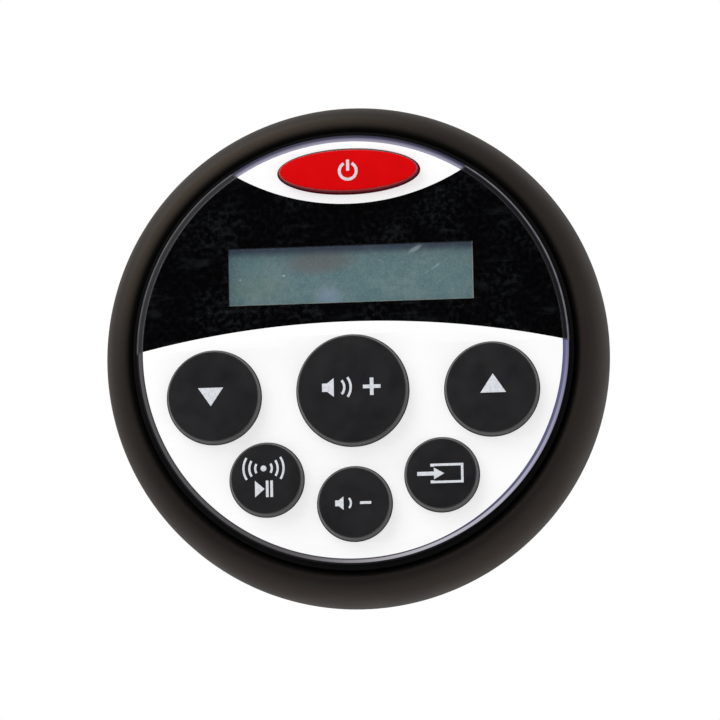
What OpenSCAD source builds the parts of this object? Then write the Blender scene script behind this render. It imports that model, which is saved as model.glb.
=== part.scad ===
// Round in-dash marine stereo: a sealed face with seven keys and a small display,
// a plain cylindrical body that passes through the panel, a finned rear cover and
// a clamp bracket that pulls the face's gasket against the panel.
// Upright frame: +Z up, the face looks along -Y and the body goes into the panel
// along +Y. The origin lies on the body's axis, in the plane where the gasket meets
// the panel. Every module below works in face coordinates, with x to the right,
// y up the face and z out of the panel towards the user.

/* [Front ring] */
// Radial width of the front ring, from the trim ring to its outer edge
ring_w = 7.65; // [6.8:0.05:10]
// Wall of the ring's shell
bezel_wall = 1.8; // [1.4:0.1:2.2]
// Height of the straight edge beside the panel
bezel_edge_h = 2; // [1:0.1:4]
// Gap between the ring's rim and the panel
panel_clear = 0.3; // [0.1:0.1:0.8]
// How far the ring's crest lies behind the face
crest_drop = 1.1; // [0.6:0.1:1.5]
// Radial width of the rounding on the inside of the crest
crest_round = 2; // [1.6:0.1:2.4]
// Height of the rounding on the inside of the crest
crest_fall = 3; // [2:0.1:4]
// Flat land on top of the crest
crest_land = 0.15; // [0.05:0.05:0.6]
// Wall of the ring's inner skirt
skirt_wall = 1.6; // [1.2:0.1:2]
// Number of stiffening ribs inside the ring
bezel_ribs = 12; // [6:1:24]
// Thickness of one stiffening rib
bezel_rib_t = 1; // [0.8:0.1:1.6]

/* [Face] */
// Diameter of the printed face
face_d = 86.2; // [78:0.2:96]
// Radial width of the trim ring round the face
trim_w = 1.25; // [0.8:0.05:1.6]
// Bevel on the trim ring's edges
trim_bevel = 0.35; // [0.1:0.05:0.5]
// Thickness of the face plate
fascia_t = 2; // [1.8:0.1:3]
// Thickness of the dark display band let into the face plate
mask_t = 1; // [0.6:0.1:1.2]
// Radius of the band's lower edge
lower_arc_r = 189.4; // [150:0.2:240]
// Height of the band's lower edge on the centre line
lower_arc_y = 5.74; // [4.6:0.02:7]
// Radius of the band's upper edge
upper_arc_r = 45.46; // [40:0.02:52]
// White land between the power key's opening and the band's upper edge
upper_arc_land = 1.87; // [1:0.01:3]

/* [Display] */
// Width of the display window
window_w = 50.24; // [44:0.02:54]
// Height of the display window
window_h = 11.87; // [10:0.01:12.6]
// Height of the window's centre on the face
window_y = 15.52; // [15.2:0.01:17]
// Thickness of the clear pane behind the window
pane_t = 0.8; // [0.6:0.1:1.2]
// How far the pane reaches past the window
pane_lap = 0.9; // [0.6:0.1:1.4]
// Thickness of the display glass
lcd_t = 1.1; // [0.8:0.1:1.4]
// How far the display glass reaches past the window
lcd_lap = 2.6; // [2.2:0.1:3]
// Thickness of the light guide behind the display glass
guide_t = 2.4; // [1.6:0.1:3]
// Wall of the display's frame
lcd_frame_wall = 1.4; // [1:0.1:1.6]
// Thickness of one contact strip
strip_t = 1.5; // [1:0.1:1.6]

/* [Keys] */
// Diameter of the volume up key
volume_up_d = 22.7; // [20:0.1:24]
// Height of the volume up key on the face
volume_up_y = -8.64; // [-9.4:0.01:-8.4]
// White land between an outer key's opening and the edge of the face
key_rim = 3.4; // [2.4:0.05:4.4]
// White land between the volume up and volume down keys' openings
volume_land = 3.93; // [3:0.01:6]
// Angle of the seek keys below the horizontal
seek_angle = 18; // [12:0.5:20]
// White land between the volume up key's and a seek key's openings
seek_land = 7.05; // [5:0.01:9]
// Angle of the band and mode keys below the horizontal
small_angle = 56; // [55:0.5:58]
// White land between the volume up key's and the band or mode key's openings
small_land = 5.95; // [5:0.01:8]
// Width of the oval power key
power_w = 29; // [24:0.1:32]
// Height of the oval power key
power_h = 9.16; // [8:0.02:9.6]
// Land between the power key's opening and the edge of the face
power_edge = 1.5; // [1.3:0.05:2]
// How far the round keys stand out of the face
key_rise = 2.4; // [1.5:0.1:4]
// How far the power key stands out of the face
power_rise = 2; // [1.2:0.1:3]
// How far a key's side leans in between the face and its top
key_draft = 0.4; // [0.2:0.05:0.6]
// Edge radius of a key's top
key_round = 0.3; // [0.2:0.05:0.8]
// Gap between a key and its opening in the face
key_gap = 0.25; // [0.15:0.01:0.35]
// How far a key's rear flange reaches past its sides
key_flange_w = 0.8; // [0.6:0.05:0.9]
// How far the power key's rear flange reaches past its sides
power_flange_w = 0.5; // [0.45:0.05:0.6]
// Thickness of a key's rear flange
key_flange_t = 1; // [0.8:0.1:1.4]
// Travel of a pressed key
key_travel = 0.5; // [0.3:0.05:0.8]
// Diameter of the foot under a key
key_foot_d = 5; // [4:0.1:7]
// Height of the foot under a key
key_foot_h = 0.6; // [0.4:0.1:1.2]
// Thickness of the keypad mat
mat_t = 1.5; // [1.2:0.1:1.6]
// Gap between the mat and a key's flange
web_gap = 0.3; // [0.2:0.05:0.35]

/* [Control board] */
// Thickness of a circuit board
board_t = 1.6; // [1:0.1:2]
// Width of a switch body
switch_w = 6; // [5:0.1:7]
// Height of a switch body
switch_h = 2.8; // [2.6:0.1:4]
// Diameter of a switch plunger
plunger_d = 3.3; // [2.5:0.1:4]
// Length of the plunger held in the switch body
plunger_hold = 1.2; // [0.8:0.1:1.6]
// Width of a backlight lamp
lamp_w = 1.5; // [1:0.1:1.6]
// Length of a backlight lamp
lamp_l = 3; // [2:0.1:5]
// Height of a backlight lamp
lamp_h = 1.4; // [1:0.1:1.6]

/* [Front frame and body] */
// Thickness of the gasket against the panel
gasket_t = 1.5; // [1:0.1:3]
// Gap round the body inside the gasket
gasket_gap = 1.2; // [1:0.1:1.6]
// Floor of the front frame
frame_floor_t = 3; // [2.6:0.1:4]
// Side wall of the front frame
frame_wall = 1.5; // [1.2:0.1:1.8]
// Width of the frame's lip round the trim ring
frame_lip_w = 0.85; // [0.6:0.05:1.1]
// How far the frame's lip lies below the ring's crest
frame_lip_drop = 0.5; // [0.3:0.05:0.9]
// How far the frame's ledge reaches in under the face plate
ledge_lap = 0.8; // [0.6:0.05:0.9]
// Thickness of the frame's ledge
ledge_t = 2; // [1.4:0.1:2.6]
// How far the body's front flange stands out past the body
body_step = 4.75; // [4.6:0.05:7]
// Wall of the body
body_wall = 2; // [1.6:0.1:2.6]
// Length of the body behind the panel
body_depth = 40; // [36:0.5:60]
// Thickness of the body's front flange
body_flange_t = 1.5; // [1.2:0.1:3]
// Thickness of the flat seals
seal_t = 0.8; // [0.5:0.1:1.2]
// Step from the body's wall in to its neck under the front frame and to the rear cover
body_relief = 0.6; // [0.5:0.05:1]

/* [Boards inside] */
// Distance between the control board and the main board
stack_h = 21; // [19:0.5:24]
// Width across the flats of a stand-off
standoff_af = 5; // [4.5:0.1:6]
// Distance of the stand-offs from the main board's edge
standoff_inset = 5.4; // [4:0.1:6]
// Width of the header between the boards
header_w = 26; // [20:0.5:30]
// Depth of the header between the boards
header_h = 5; // [4:0.1:7]
// Height of the header's centre above the axis
header_y = 24; // [23:0.5:25]
// Width of the tuner can
tuner_w = 26; // [20:0.5:28]
// Height of the tuner can
tuner_h = 20; // [16:0.5:22]
// Depth of the tuner can
tuner_t = 6; // [4:0.5:10]
// Height of the tuner can's centre above the axis
tuner_y = -10; // [-14:0.5:-6]
// Diameter of a supply capacitor
capacitor_d = 10; // [8:0.5:11]
// Height of a supply capacitor
capacitor_h = 14; // [10:0.5:16]
// Outer diameter of the supply choke
choke_d = 15; // [12:0.5:17]
// Thickness of the supply choke
choke_t = 6; // [4:0.5:8]
// Width of the amplifier chip
chip_w = 29; // [24:0.5:30]
// Height of the amplifier chip
chip_h = 15.7; // [12:0.1:16]
// Thickness of the amplifier chip
chip_t = 4.5; // [3:0.1:6]
// Height of the amplifier chip's centre above the axis
chip_y = 10; // [9:0.5:12]
// Number of leads on the amplifier chip
chip_leads = 13; // [9:1:15]
// Thickness of the bar that holds the chip to the rear cover
clamp_bar_t = 1.5; // [1:0.1:2]

/* [Rear cover] */
// Thickness of the rear cover's plate
sink_t = 3; // [2.6:0.1:4]
// Height of the cooling fins
fin_h = 6; // [3:0.5:8]
// Thickness of a cooling fin
fin_t = 1.4; // [1:0.1:2]
// Distance from one cooling fin to the next
fin_pitch = 4.5; // [3.5:0.1:7]
// How far the fins' ends stand back from the cover's edge
fin_inset = 0.9; // [0.5:0.1:2]
// Distance of the cover screws from the body's inner wall
cover_screw_inset = 3.2; // [3:0.1:3.6]
// Diameter of the harness gland's bore
harness_bore_d = 8; // [6:0.1:9]
// Diameter of the hole that holds the harness gland
harness_hole_d = 12; // [11:0.1:13]
// Diameter of the harness gland's flange
harness_flange_d = 16; // [15:0.1:17]
// Diameter of the antenna gland's bore
antenna_bore_d = 4.6; // [3:0.1:5]
// Diameter of the hole that holds the antenna gland
antenna_hole_d = 7.6; // [7:0.1:8.4]
// Diameter of the antenna gland's flange
antenna_flange_d = 11; // [10:0.1:12]
// Distance of both glands from the centre line
gland_x = 10; // [8:0.5:12]
// Height of both glands above the axis
gland_y = -22; // [-23:0.5:-20]
// Thickness of a gland's flange
gland_flange_t = 2; // [1:0.1:3]

/* [Fasteners] */
// Head diameter of the screws that hold the body to the frame
frame_screw_head_d = 3.8; // [3.4:0.1:3.9]
// Head height of the screws that hold the body to the frame
frame_screw_head_h = 1.4; // [1:0.1:1.6]
// Shank diameter of the screws that hold the body to the frame
frame_screw_d = 2.2; // [1.8:0.1:2.4]
// Head diameter of the screws that hold the ring to the frame
bezel_screw_head_d = 3.2; // [2.8:0.1:3.4]
// Head height of the screws that hold the ring to the frame
bezel_screw_head_h = 1.1; // [0.8:0.1:1.4]
// Shank diameter of the screws that hold the ring to the frame
bezel_screw_d = 1.6; // [1.4:0.1:1.8]
// Head diameter of the screws on the main board and the chip clamp
board_screw_head_d = 5.2; // [4.8:0.1:5.6]
// Head height of the screws on the main board and the chip clamp
board_screw_head_h = 1.8; // [1.4:0.1:2.2]
// Shank diameter of the screws on the main board and the chip clamp
board_screw_d = 3; // [2.5:0.1:3.2]
// Head diameter of the screws that hold the rear cover
cover_screw_head_d = 5.6; // [5:0.1:6]
// Head height of the screws that hold the rear cover
cover_screw_head_h = 2.2; // [1.6:0.1:2.6]
// Shank diameter of the screws that hold the rear cover
cover_screw_d = 3; // [2.5:0.1:3.2]

/* [Clamp bracket] */
// Diameter of the mounting studs
stud_d = 4; // [3:0.5:5]
// Distance between the mounting studs
stud_spacing = 48; // [44:0.5:52]
// Width of the bracket's strip
bracket_w = 18; // [14:0.5:22]
// Thickness of the bracket's strip
bracket_t = 1.5; // [1:0.1:2.5]
// Gap between the body and the bracket's legs
leg_gap = 3; // [2:0.5:4]
// Inner radius of the bracket's bends
bend_r = 2; // [1:0.1:3]
// Length of the flat part of a foot
foot_l = 5; // [3:0.5:8]
// Panel thickness that the bracket stands at
panel_t = 8; // [5:0.5:16]
// Gap between the fins and the bracket
bracket_gap = 7.4; // [7.4:0.1:10]
// Length of free stud behind the nuts
nut_travel = 8; // [8:0.5:12]
// Diameter of the knurled nuts
nut_d = 12; // [10:0.5:14]
// Height of the knurled nuts
nut_h = 7; // [4:0.5:9]
// Number of knurls on a nut
nut_knurls = 24; // [16:1:36]
// Thickness of the flat washers
washer_t = 0.8; // [0.5:0.1:1.2]
// Thickness of the spring washers
spring_washer_t = 1; // [0.6:0.1:1.4]

/* [Hidden] */
$fn = 96;

// Clearances and small fixed sizes
cut = 1;
seat_gap = 0.05;
slip_gap = 0.15;
rest_gap = 0.1;
curve_steps = 18;
round_steps = 4;
oval_steps = 72;

// Heights of the front stack, from the panel towards the user
floor_z = gasket_t + frame_floor_t;
seal_z = floor_z + seal_t;
flange_z = seal_z + body_flange_t;
board_z = flange_z + board_t;
switch_z = board_z + switch_h;
plunger_z = switch_z + key_travel + rest_gap;
key_z0 = plunger_z + key_foot_h;
key_z1 = key_z0 + key_flange_t;
fascia_z = key_z1 + rest_gap;
face_z = fascia_z + fascia_t;
mask_z = face_z - mask_t;
pane_z = mask_z - pane_t;
lcd_z1 = min(fascia_z, pane_z) - rest_gap;
lcd_z0 = lcd_z1 - lcd_t;
guide_z = lcd_z0 - guide_t;

// Radii of the front, from the face outwards
face_r = face_d / 2;
trim_r = face_r + trim_w;
lip_r = trim_r + seat_gap;
frame_r = lip_r + frame_lip_w;
frame_inner_r = frame_r - frame_wall;
ledge_r = face_r - ledge_lap;
skirt_r = frame_r + slip_gap;
cavity_r = skirt_r + skirt_wall;
crest_r = skirt_r + crest_round + crest_land;
bezel_r = trim_r + ring_w;
bezel_inner_r = bezel_r - bezel_wall;
frame_flange_r = bezel_inner_r - slip_gap;
crest_z = face_z - crest_drop;
edge_z = panel_clear + bezel_edge_h;
lip_z = crest_z - frame_lip_drop;

// Radii of the body and heights behind the panel
body_r = frame_inner_r - body_step;
body_inner_r = body_r - body_wall;
floor_r = body_r + slip_gap;
gasket_r = body_r + gasket_gap;
body_end_z = -body_depth;
sink_z1 = body_end_z - seal_t;
sink_z0 = sink_z1 - sink_t;
fin_z = sink_z0 - fin_h;
sink_r = body_r - body_relief;
main_z1 = flange_z - stack_h;
main_z0 = main_z1 - board_t;
main_r = body_inner_r - 4 * slip_gap;

// Heights and places of the clamp bracket
base_z1 = fin_z - bracket_gap;
base_z0 = base_z1 - bracket_t;
washer_z = base_z0 - washer_t;
spring_washer_z = washer_z - spring_washer_t;
nut_z = spring_washer_z - nut_h;
stud_z0 = nut_z - nut_travel;
stud_z1 = sink_z0 + sink_t / 2;
leg_x = body_r + leg_gap;
foot_z = -panel_t;
stud_r = stud_d / 2;
stud_boss_wall = 2.5;
washer_w = 3;
spring_washer_w = 1.8;
spring_washer_slit = 0.8;
knurl_h = 0.5;
stud_places = [[-stud_spacing / 2, 0], [stud_spacing / 2, 0]];

// Fasteners as [head radius, head height, shank radius]
frame_screw = [frame_screw_head_d / 2, frame_screw_head_h, frame_screw_d / 2];
bezel_screw = [bezel_screw_head_d / 2, bezel_screw_head_h, bezel_screw_d / 2];
board_screw = [board_screw_head_d / 2, board_screw_head_h, board_screw_d / 2];
cover_screw = [cover_screw_head_d / 2, cover_screw_head_h, cover_screw_d / 2];
frame_screw_angles = [50, 130, 230, 310];
frame_screw_r = frame_inner_r - frame_screw[0] - slip_gap;
bezel_screw_r = (cavity_r + bezel_inner_r) / 2;
bezel_screw_l = 6;
cover_screw_l = 10;
boss_wall = 1.8;
boss_spare = 2;
boss_r = cover_screw[2] + boss_wall;
diagonals = [45, 135, 225, 315];
cover_places = [for (a = diagonals) (body_inner_r - cover_screw_inset) * [cos(a), sin(a)]];
standoff_places = [for (a = diagonals) (main_r - standoff_inset) * [cos(a), sin(a)]];

// An outer key fills the room between the volume up key and the edge of the face:
// on the ray at the given angle, its opening keeps key_rim to the edge and land to the
// volume up key's opening. The result is [x, y, diameter].
function rim_key(angle, land) =
    let (
        reach = face_r - key_rim,
        span = reach + volume_up_d / 2 + key_gap + land,
        out = (span ^ 2 - volume_up_y ^ 2) / (2 * (span - volume_up_y * sin(angle)))
    )
    [out * cos(angle), out * sin(angle), 2 * (reach - out - key_gap)];

// Keys as [x, y, diameter], and the place of each switch
volume_up = [0, volume_up_y, volume_up_d];
volume_down = rim_key(-90, volume_land);
seek_up = rim_key(-seek_angle, seek_land);
seek_down = rim_key(seek_angle - 180, seek_land);
band = rim_key(small_angle - 180, small_land);
mode = rim_key(-small_angle, small_land);
round_keys = [volume_up, volume_down, seek_up, seek_down, band, mode];
power_y = face_r - power_edge - key_gap - power_h / 2;
power = [0, power_y];
upper_arc_y = power_y - power_h / 2 - key_gap - upper_arc_land;
switch_places = concat([power], [for (k = round_keys) [k[0], k[1]]]);

// Display parts
lcd_w = window_w + 2 * lcd_lap;
lcd_h = window_h + 2 * lcd_lap;
lcd_room_w = lcd_w + 2 * slip_gap;
lcd_room_h = lcd_h + 2 * slip_gap;
lcd_frame_w = lcd_room_w + 2 * lcd_frame_wall;
lcd_frame_h = lcd_room_h + 2 * lcd_frame_wall;
guide_h = lcd_room_h - 2 * (strip_t + 2 * slip_gap);
guide_w = lcd_room_w - 2 * (lamp_w + 2 * slip_gap);
strip_y = (lcd_room_h - strip_t) / 2 - slip_gap;

// Glands as [x, y, bore radius, hole radius, flange radius]
harness = [-gland_x, gland_y, harness_bore_d / 2, harness_hole_d / 2, harness_flange_d / 2];
antenna = [gland_x, gland_y, antenna_bore_d / 2, antenna_hole_d / 2, antenna_flange_d / 2];
glands = [harness, antenna];
gland_lip_w = 0.8;
gland_lip_t = 1.2;

// Chip clamp and its leads
clamp_bar_h = 7;
clamp_screw_land = 4;
clamp_screw_x = chip_w / 2 + clamp_screw_land;
chip_top_z = sink_z1 + chip_t;
lead_pitch = 1.9;
lead_w = 0.7;
lead_reach = 1.6;

// Places of the parts on the main board's rear
capacitor_places = [[-23, -4], [-12, -4], [-17, -14]];
choke_place = [19, -8];

// Face coordinates to the upright frame
module upright() {
    rotate([90, 0, 0]) children();
}

module at(place, z = 0) {
    translate([place[0], place[1], z]) children();
}

module around(angles, r) {
    for (a = angles) rotate([0, 0, a]) translate([r, 0, 0]) children();
}

// Solid of revolution pieces between two heights
module disc(r, z0, z1) {
    translate([0, 0, z0]) cylinder(r = r, h = z1 - z0);
}

module tube(r_out, r_in, z0, z1) {
    difference() {
        disc(r_out, z0, z1);
        disc(r_in, z0 - cut, z1 + cut);
    }
}

// Rectangular block about a place between two heights
module block(w, h, z0, z1) {
    translate([-w / 2, -h / 2, z0]) cube([w, h, z1 - z0]);
}

// Pan-head screw whose head stands on z = 0 and whose shank runs down
module screw(size, shank_l) {
    cylinder(r = size[0], h = size[1]);
    translate([0, 0, -shank_l]) cylinder(r = size[2], h = shank_l);
}

// Oval outline from its two half widths
module oval(a, b) {
    polygon([for (i = [0 : oval_steps - 1])
        [a * cos(360 * i / oval_steps), b * sin(360 * i / oval_steps)]]);
}

// Quarter of an ellipse in the radial plane, from angle t0 to angle t1
function quarter(r0, z0, a, b, t0, t1) = [
    for (i = [0 : curve_steps])
        let (t = t0 + (t1 - t0) * i / curve_steps) [r0 + a * cos(t), z0 + b * sin(t)]
];

// The dark band: the face between the lower and the upper arc
module band_outline(gap) {
    difference() {
        circle(r = face_r - seat_gap);
        translate([0, lower_arc_y - lower_arc_r]) circle(r = lower_arc_r + gap);
        translate([0, upper_arc_y + upper_arc_r]) circle(r = upper_arc_r + gap);
    }
}

module window_outline(lap) {
    translate([0, window_y]) square([window_w + 2 * lap, window_h + 2 * lap], center = true);
}

// Ring shell: the outer quarter ellipse, a rounded inner edge and the hollow behind
module bezel_shell() {
    inner_a = bezel_inner_r - crest_r;
    roof_angle = acos((cavity_r - crest_r) / inner_a);
    rotate_extrude() polygon(concat(
        [[bezel_inner_r, panel_clear], [bezel_r, panel_clear]],
        quarter(crest_r, edge_z, bezel_r - crest_r, crest_z - edge_z, 0, 90),
        quarter(skirt_r + crest_round, crest_z - crest_fall, crest_round, crest_fall, 90, 180),
        [[skirt_r, floor_z], [cavity_r, floor_z]],
        quarter(crest_r, edge_z, inner_a, crest_z - edge_z - bezel_wall, roof_angle, 0)
    ));
}

// What fills the ring's hollow: ribs and screw bosses, trimmed to the ring's outline
module bezel_stiffeners() {
    boss = (bezel_inner_r - cavity_r) / 2 + slip_gap;
    half_wall = bezel_wall / 2;
    rib_a = bezel_r - half_wall - crest_r;
    rib_angle = acos((cavity_r - crest_r) / rib_a);
    top_z = crest_z - bezel_wall;
    rib_l = bezel_inner_r - cavity_r + bezel_wall;
    intersection() {
        rotate_extrude() polygon(concat(
            [[cavity_r - skirt_wall / 2, floor_z], [bezel_r - half_wall, floor_z]],
            quarter(crest_r, edge_z, rib_a, crest_z - edge_z - half_wall, 20, rib_angle)
        ));
        union() {
            around(diagonals, bezel_screw_r) disc(boss, floor_z, top_z);
            for (i = [0 : bezel_ribs - 1]) rotate([0, 0, 360 * i / bezel_ribs])
                translate([cavity_r - skirt_wall / 2, -bezel_rib_t / 2, floor_z + cut])
                    cube([rib_l, bezel_rib_t, top_z - floor_z - cut]);
        }
    }
}

module bezel_ring() {
    color("#2b2724") difference() {
        union() {
            bezel_shell();
            bezel_stiffeners();
        }
        around(diagonals, bezel_screw_r)
            disc(bezel_screw[2] + seat_gap, floor_z - cut, floor_z + bezel_screw_l + rest_gap);
    }
}

module bezel_screws() {
    color("silver") around(diagonals, bezel_screw_r)
        translate([0, 0, gasket_t + bezel_screw[1]]) mirror([0, 0, 1])
            screw(bezel_screw, floor_z + bezel_screw_l - gasket_t - bezel_screw[1]);
}

module panel_gasket() {
    color("#1d1d1f") tube(frame_flange_r, gasket_r, 0, gasket_t);
}

// Floor, side wall, ledge under the face plate and lip round the trim ring
module front_frame() {
    color("#202022") difference() {
        rotate_extrude() polygon([
            [floor_r, gasket_t], [frame_flange_r, gasket_t], [frame_flange_r, floor_z],
            [frame_r, floor_z], [frame_r, lip_z], [lip_r, lip_z], [lip_r, fascia_z],
            [ledge_r, fascia_z], [ledge_r, fascia_z - ledge_t],
            [frame_inner_r, fascia_z - ledge_t - (frame_inner_r - ledge_r)],
            [frame_inner_r, floor_z], [floor_r, floor_z],
        ]);
        around(frame_screw_angles, frame_screw_r)
            disc(frame_screw[2] + seat_gap, gasket_t + rest_gap, floor_z + cut);
        at([0, window_y]) block(lcd_frame_w + 2 * web_gap, lcd_frame_h + 2 * web_gap, board_z, fascia_z);
        around(diagonals, bezel_screw_r) {
            disc(bezel_screw[2] + slip_gap, gasket_t - cut, floor_z + cut);
            disc(bezel_screw[0] + slip_gap, gasket_t - cut, gasket_t + bezel_screw[1]);
        }
    }
}

module trim_ring() {
    color("#8c8ca2") rotate_extrude() polygon([
        [face_r, fascia_z], [trim_r, fascia_z], [trim_r, face_z - trim_bevel],
        [trim_r - trim_bevel, face_z], [face_r + trim_bevel / 2, face_z],
        [face_r, face_z - trim_bevel / 2],
    ]);
}

// White face plate: the band's recess, the pane's opening and the key openings
module fascia_plate() {
    color("white") difference() {
        disc(face_r - seat_gap, fascia_z, face_z);
        translate([0, 0, mask_z]) linear_extrude(mask_t + cut) band_outline(0);
        translate([0, 0, fascia_z - cut]) linear_extrude(fascia_t + 2 * cut)
            window_outline(pane_lap + slip_gap);
        for (k = round_keys) at(k) disc(k[2] / 2 + key_gap, fascia_z - cut, face_z + cut);
        at(power, fascia_z - cut) linear_extrude(fascia_t + 2 * cut)
            oval(power_w / 2 + key_gap, power_h / 2 + key_gap);
    }
}

module display_mask() {
    color("#0a0a0b") translate([0, 0, mask_z]) linear_extrude(mask_t) difference() {
        band_outline(seat_gap);
        window_outline(0);
    }
}

module display_pane() {
    color("#b9c4c6", 0.4) translate([0, 0, pane_z]) linear_extrude(pane_t) window_outline(pane_lap);
}

module lcd_glass() {
    color("#60787c") at([0, window_y]) block(lcd_w, lcd_h, lcd_z0, lcd_z1);
}

// Frame on the control board with a shelf that carries the light guide
module lcd_frame() {
    color("#e4e4e0") at([0, window_y]) {
        difference() {
            block(lcd_frame_w, lcd_frame_h, board_z, lcd_z1);
            block(lcd_room_w, lcd_room_h, board_z - cut, lcd_z1 + cut);
        }
        block(lcd_room_w + lcd_frame_wall, guide_h, board_z, guide_z);
    }
}

module light_guide() {
    color("#dfe8e8", 0.6) at([0, window_y]) block(guide_w, guide_h, guide_z, lcd_z0);
}

module contact_strips() {
    color("#3c3c40") for (side = [-1, 1])
        at([0, window_y + side * strip_y]) block(guide_w, strip_t, board_z, lcd_z0);
}

module backlight_lamps() {
    lamp_x = guide_w / 2 + slip_gap + lamp_w / 2;
    color("#fff4c8") for (side = [-1, 1])
        at([side * lamp_x, window_y]) block(lamp_w, lamp_l, guide_z, guide_z + lamp_h);
}

// A key's side above the face as [inset, height] points: it leans in, then rounds over
function key_side(rise) = concat(
    [[0, face_z]],
    [for (i = [0 : round_steps]) let (t = 90 * i / round_steps)
        [key_draft + key_round * (1 - cos(t)), face_z + rise - key_round * (1 - sin(t))]]
);

// Round key: foot, retaining flange and a leaning cap
module round_key(key) {
    r = key[2] / 2;
    foot_r = key_foot_d / 2;
    at(key) rotate_extrude() polygon(concat(
        [[0, plunger_z], [foot_r, plunger_z], [foot_r, key_z0], [r + key_flange_w, key_z0],
         [r + key_flange_w, key_z1], [r, key_z1]],
        [for (p = key_side(key_rise)) [r - p[0], p[1]]],
        [[0, face_z + key_rise]]
    ));
}

// Oval key with the same build: its cap is one blend up to the rounded top edge
module power_key() {
    a = power_w / 2;
    b = power_h / 2;
    cap_z = key_z0 + key_flange_t / 2;
    color("#d0080c") at(power) {
        disc(key_foot_d / 2, plunger_z, cap_z);
        translate([0, 0, key_z0]) linear_extrude(key_flange_t)
            oval(a + power_flange_w, b + power_flange_w);
        translate([0, 0, cap_z]) hull() for (p = key_side(power_rise))
            linear_extrude(p[1] - cap_z) oval(a - p[0], b - p[0]);
    }
}

module volume_up_key() {
    color("#212022") round_key(volume_up);
}

module volume_down_key() {
    color("#212022") round_key(volume_down);
}

module seek_up_key() {
    color("#212022") round_key(seek_up);
}

module seek_down_key() {
    color("#212022") round_key(seek_down);
}

module band_key() {
    color("#212022") round_key(band);
}

module mode_key() {
    color("#212022") round_key(mode);
}

module plunger(place) {
    color("#3a3a3c") at(place) disc(plunger_d / 2, switch_z - plunger_hold, plunger_z);
}

// Rubber sheet behind the face plate, open round each key's flange and the display
module keypad_mat() {
    color("#2f2f33") difference() {
        disc(ledge_r - 4 * slip_gap, fascia_z - mat_t, fascia_z);
        for (k = round_keys)
            at(k) disc(k[2] / 2 + key_flange_w + web_gap, fascia_z - mat_t - cut, fascia_z + cut);
        at(power, fascia_z - mat_t - cut) linear_extrude(mat_t + 2 * cut)
            oval(power_w / 2 + power_flange_w + web_gap, power_h / 2 + power_flange_w + web_gap);
        at([0, window_y]) block(lcd_frame_w + 2 * web_gap, lcd_frame_h + 2 * web_gap,
            fascia_z - mat_t - cut, fascia_z + cut);
    }
}

module control_board() {
    color("#1f5a35") difference() {
        disc(frame_inner_r - 2 * slip_gap, flange_z, board_z);
        around(frame_screw_angles, frame_screw_r)
            disc(frame_screw[2] + slip_gap, flange_z - cut, board_z + cut);
    }
}

// Switch bodies, each with the blind bore that guides its plunger
module tact_switches() {
    bore_z = switch_z - plunger_hold - key_travel - rest_gap;
    color("#55565a") for (place = switch_places) at(place) difference() {
        block(switch_w, switch_w, board_z, switch_z);
        disc(plunger_d / 2 + rest_gap, bore_z, switch_z + cut);
    }
}

module frame_screws() {
    color("silver") around(frame_screw_angles, frame_screw_r)
        translate([0, 0, board_z]) screw(frame_screw, board_z - gasket_t - 2 * rest_gap);
}

module body_seal() {
    color("#1b1b1c") difference() {
        tube(frame_inner_r - 2 * slip_gap, floor_r, floor_z, seal_z);
        around(frame_screw_angles, frame_screw_r)
            disc(frame_screw[2] + slip_gap, floor_z - cut, seal_z + cut);
    }
}

// Can with a front flange, a relieved neck under the frame and bosses for the rear cover
module rear_body() {
    boss_l = cover_screw_l + boss_spare;
    color("#26262a") difference() {
        union() {
            rotate_extrude() polygon([
                [body_inner_r, body_end_z], [body_r, body_end_z], [body_r, 0],
                [body_r - body_relief, 0], [body_r - body_relief, seal_z],
                [frame_inner_r - 2 * slip_gap, seal_z], [frame_inner_r - 2 * slip_gap, flange_z],
                [body_inner_r, flange_z],
            ]);
            intersection() {
                for (place = cover_places) at(place) disc(boss_r, body_end_z, body_end_z + boss_l);
                disc(body_inner_r + body_wall / 2, body_end_z, flange_z);
            }
        }
        for (place = cover_places)
            at(place) disc(cover_screw[2] + seat_gap, body_end_z - cut, body_end_z + cover_screw_l);
        around(frame_screw_angles, frame_screw_r)
            disc(frame_screw[2] + slip_gap, seal_z - cut, flange_z + cut);
    }
}

module cover_seal() {
    color("#1b1b1c") difference() {
        union() {
            tube(sink_r, body_inner_r, sink_z1, body_end_z);
            intersection() {
                for (place = cover_places) at(place) disc(boss_r, sink_z1, body_end_z);
                disc(sink_r - slip_gap, sink_z1, body_end_z);
            }
        }
        for (place = cover_places)
            at(place) disc(cover_screw[2] + slip_gap, sink_z1 - cut, body_end_z + cut);
    }
}

// Fins side by side over the rear cover, clear of the screws and glands
module fins() {
    fin_r = sink_r - fin_inset;
    count = floor(fin_r / fin_pitch);
    difference() {
        intersection() {
            disc(fin_r, fin_z, sink_z0 + fin_t / 2);
            for (i = [-count : count])
                translate([i * fin_pitch, 0, 0]) block(fin_t, 2 * sink_r, fin_z, sink_z0 + fin_t / 2);
        }
        for (place = cover_places)
            at(place) disc(cover_screw[0] + fin_t / 2, fin_z - cut, sink_z0);
        for (g = glands) at(g) disc(g[4] + fin_t, fin_z - cut, sink_z0);
    }
}

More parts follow.
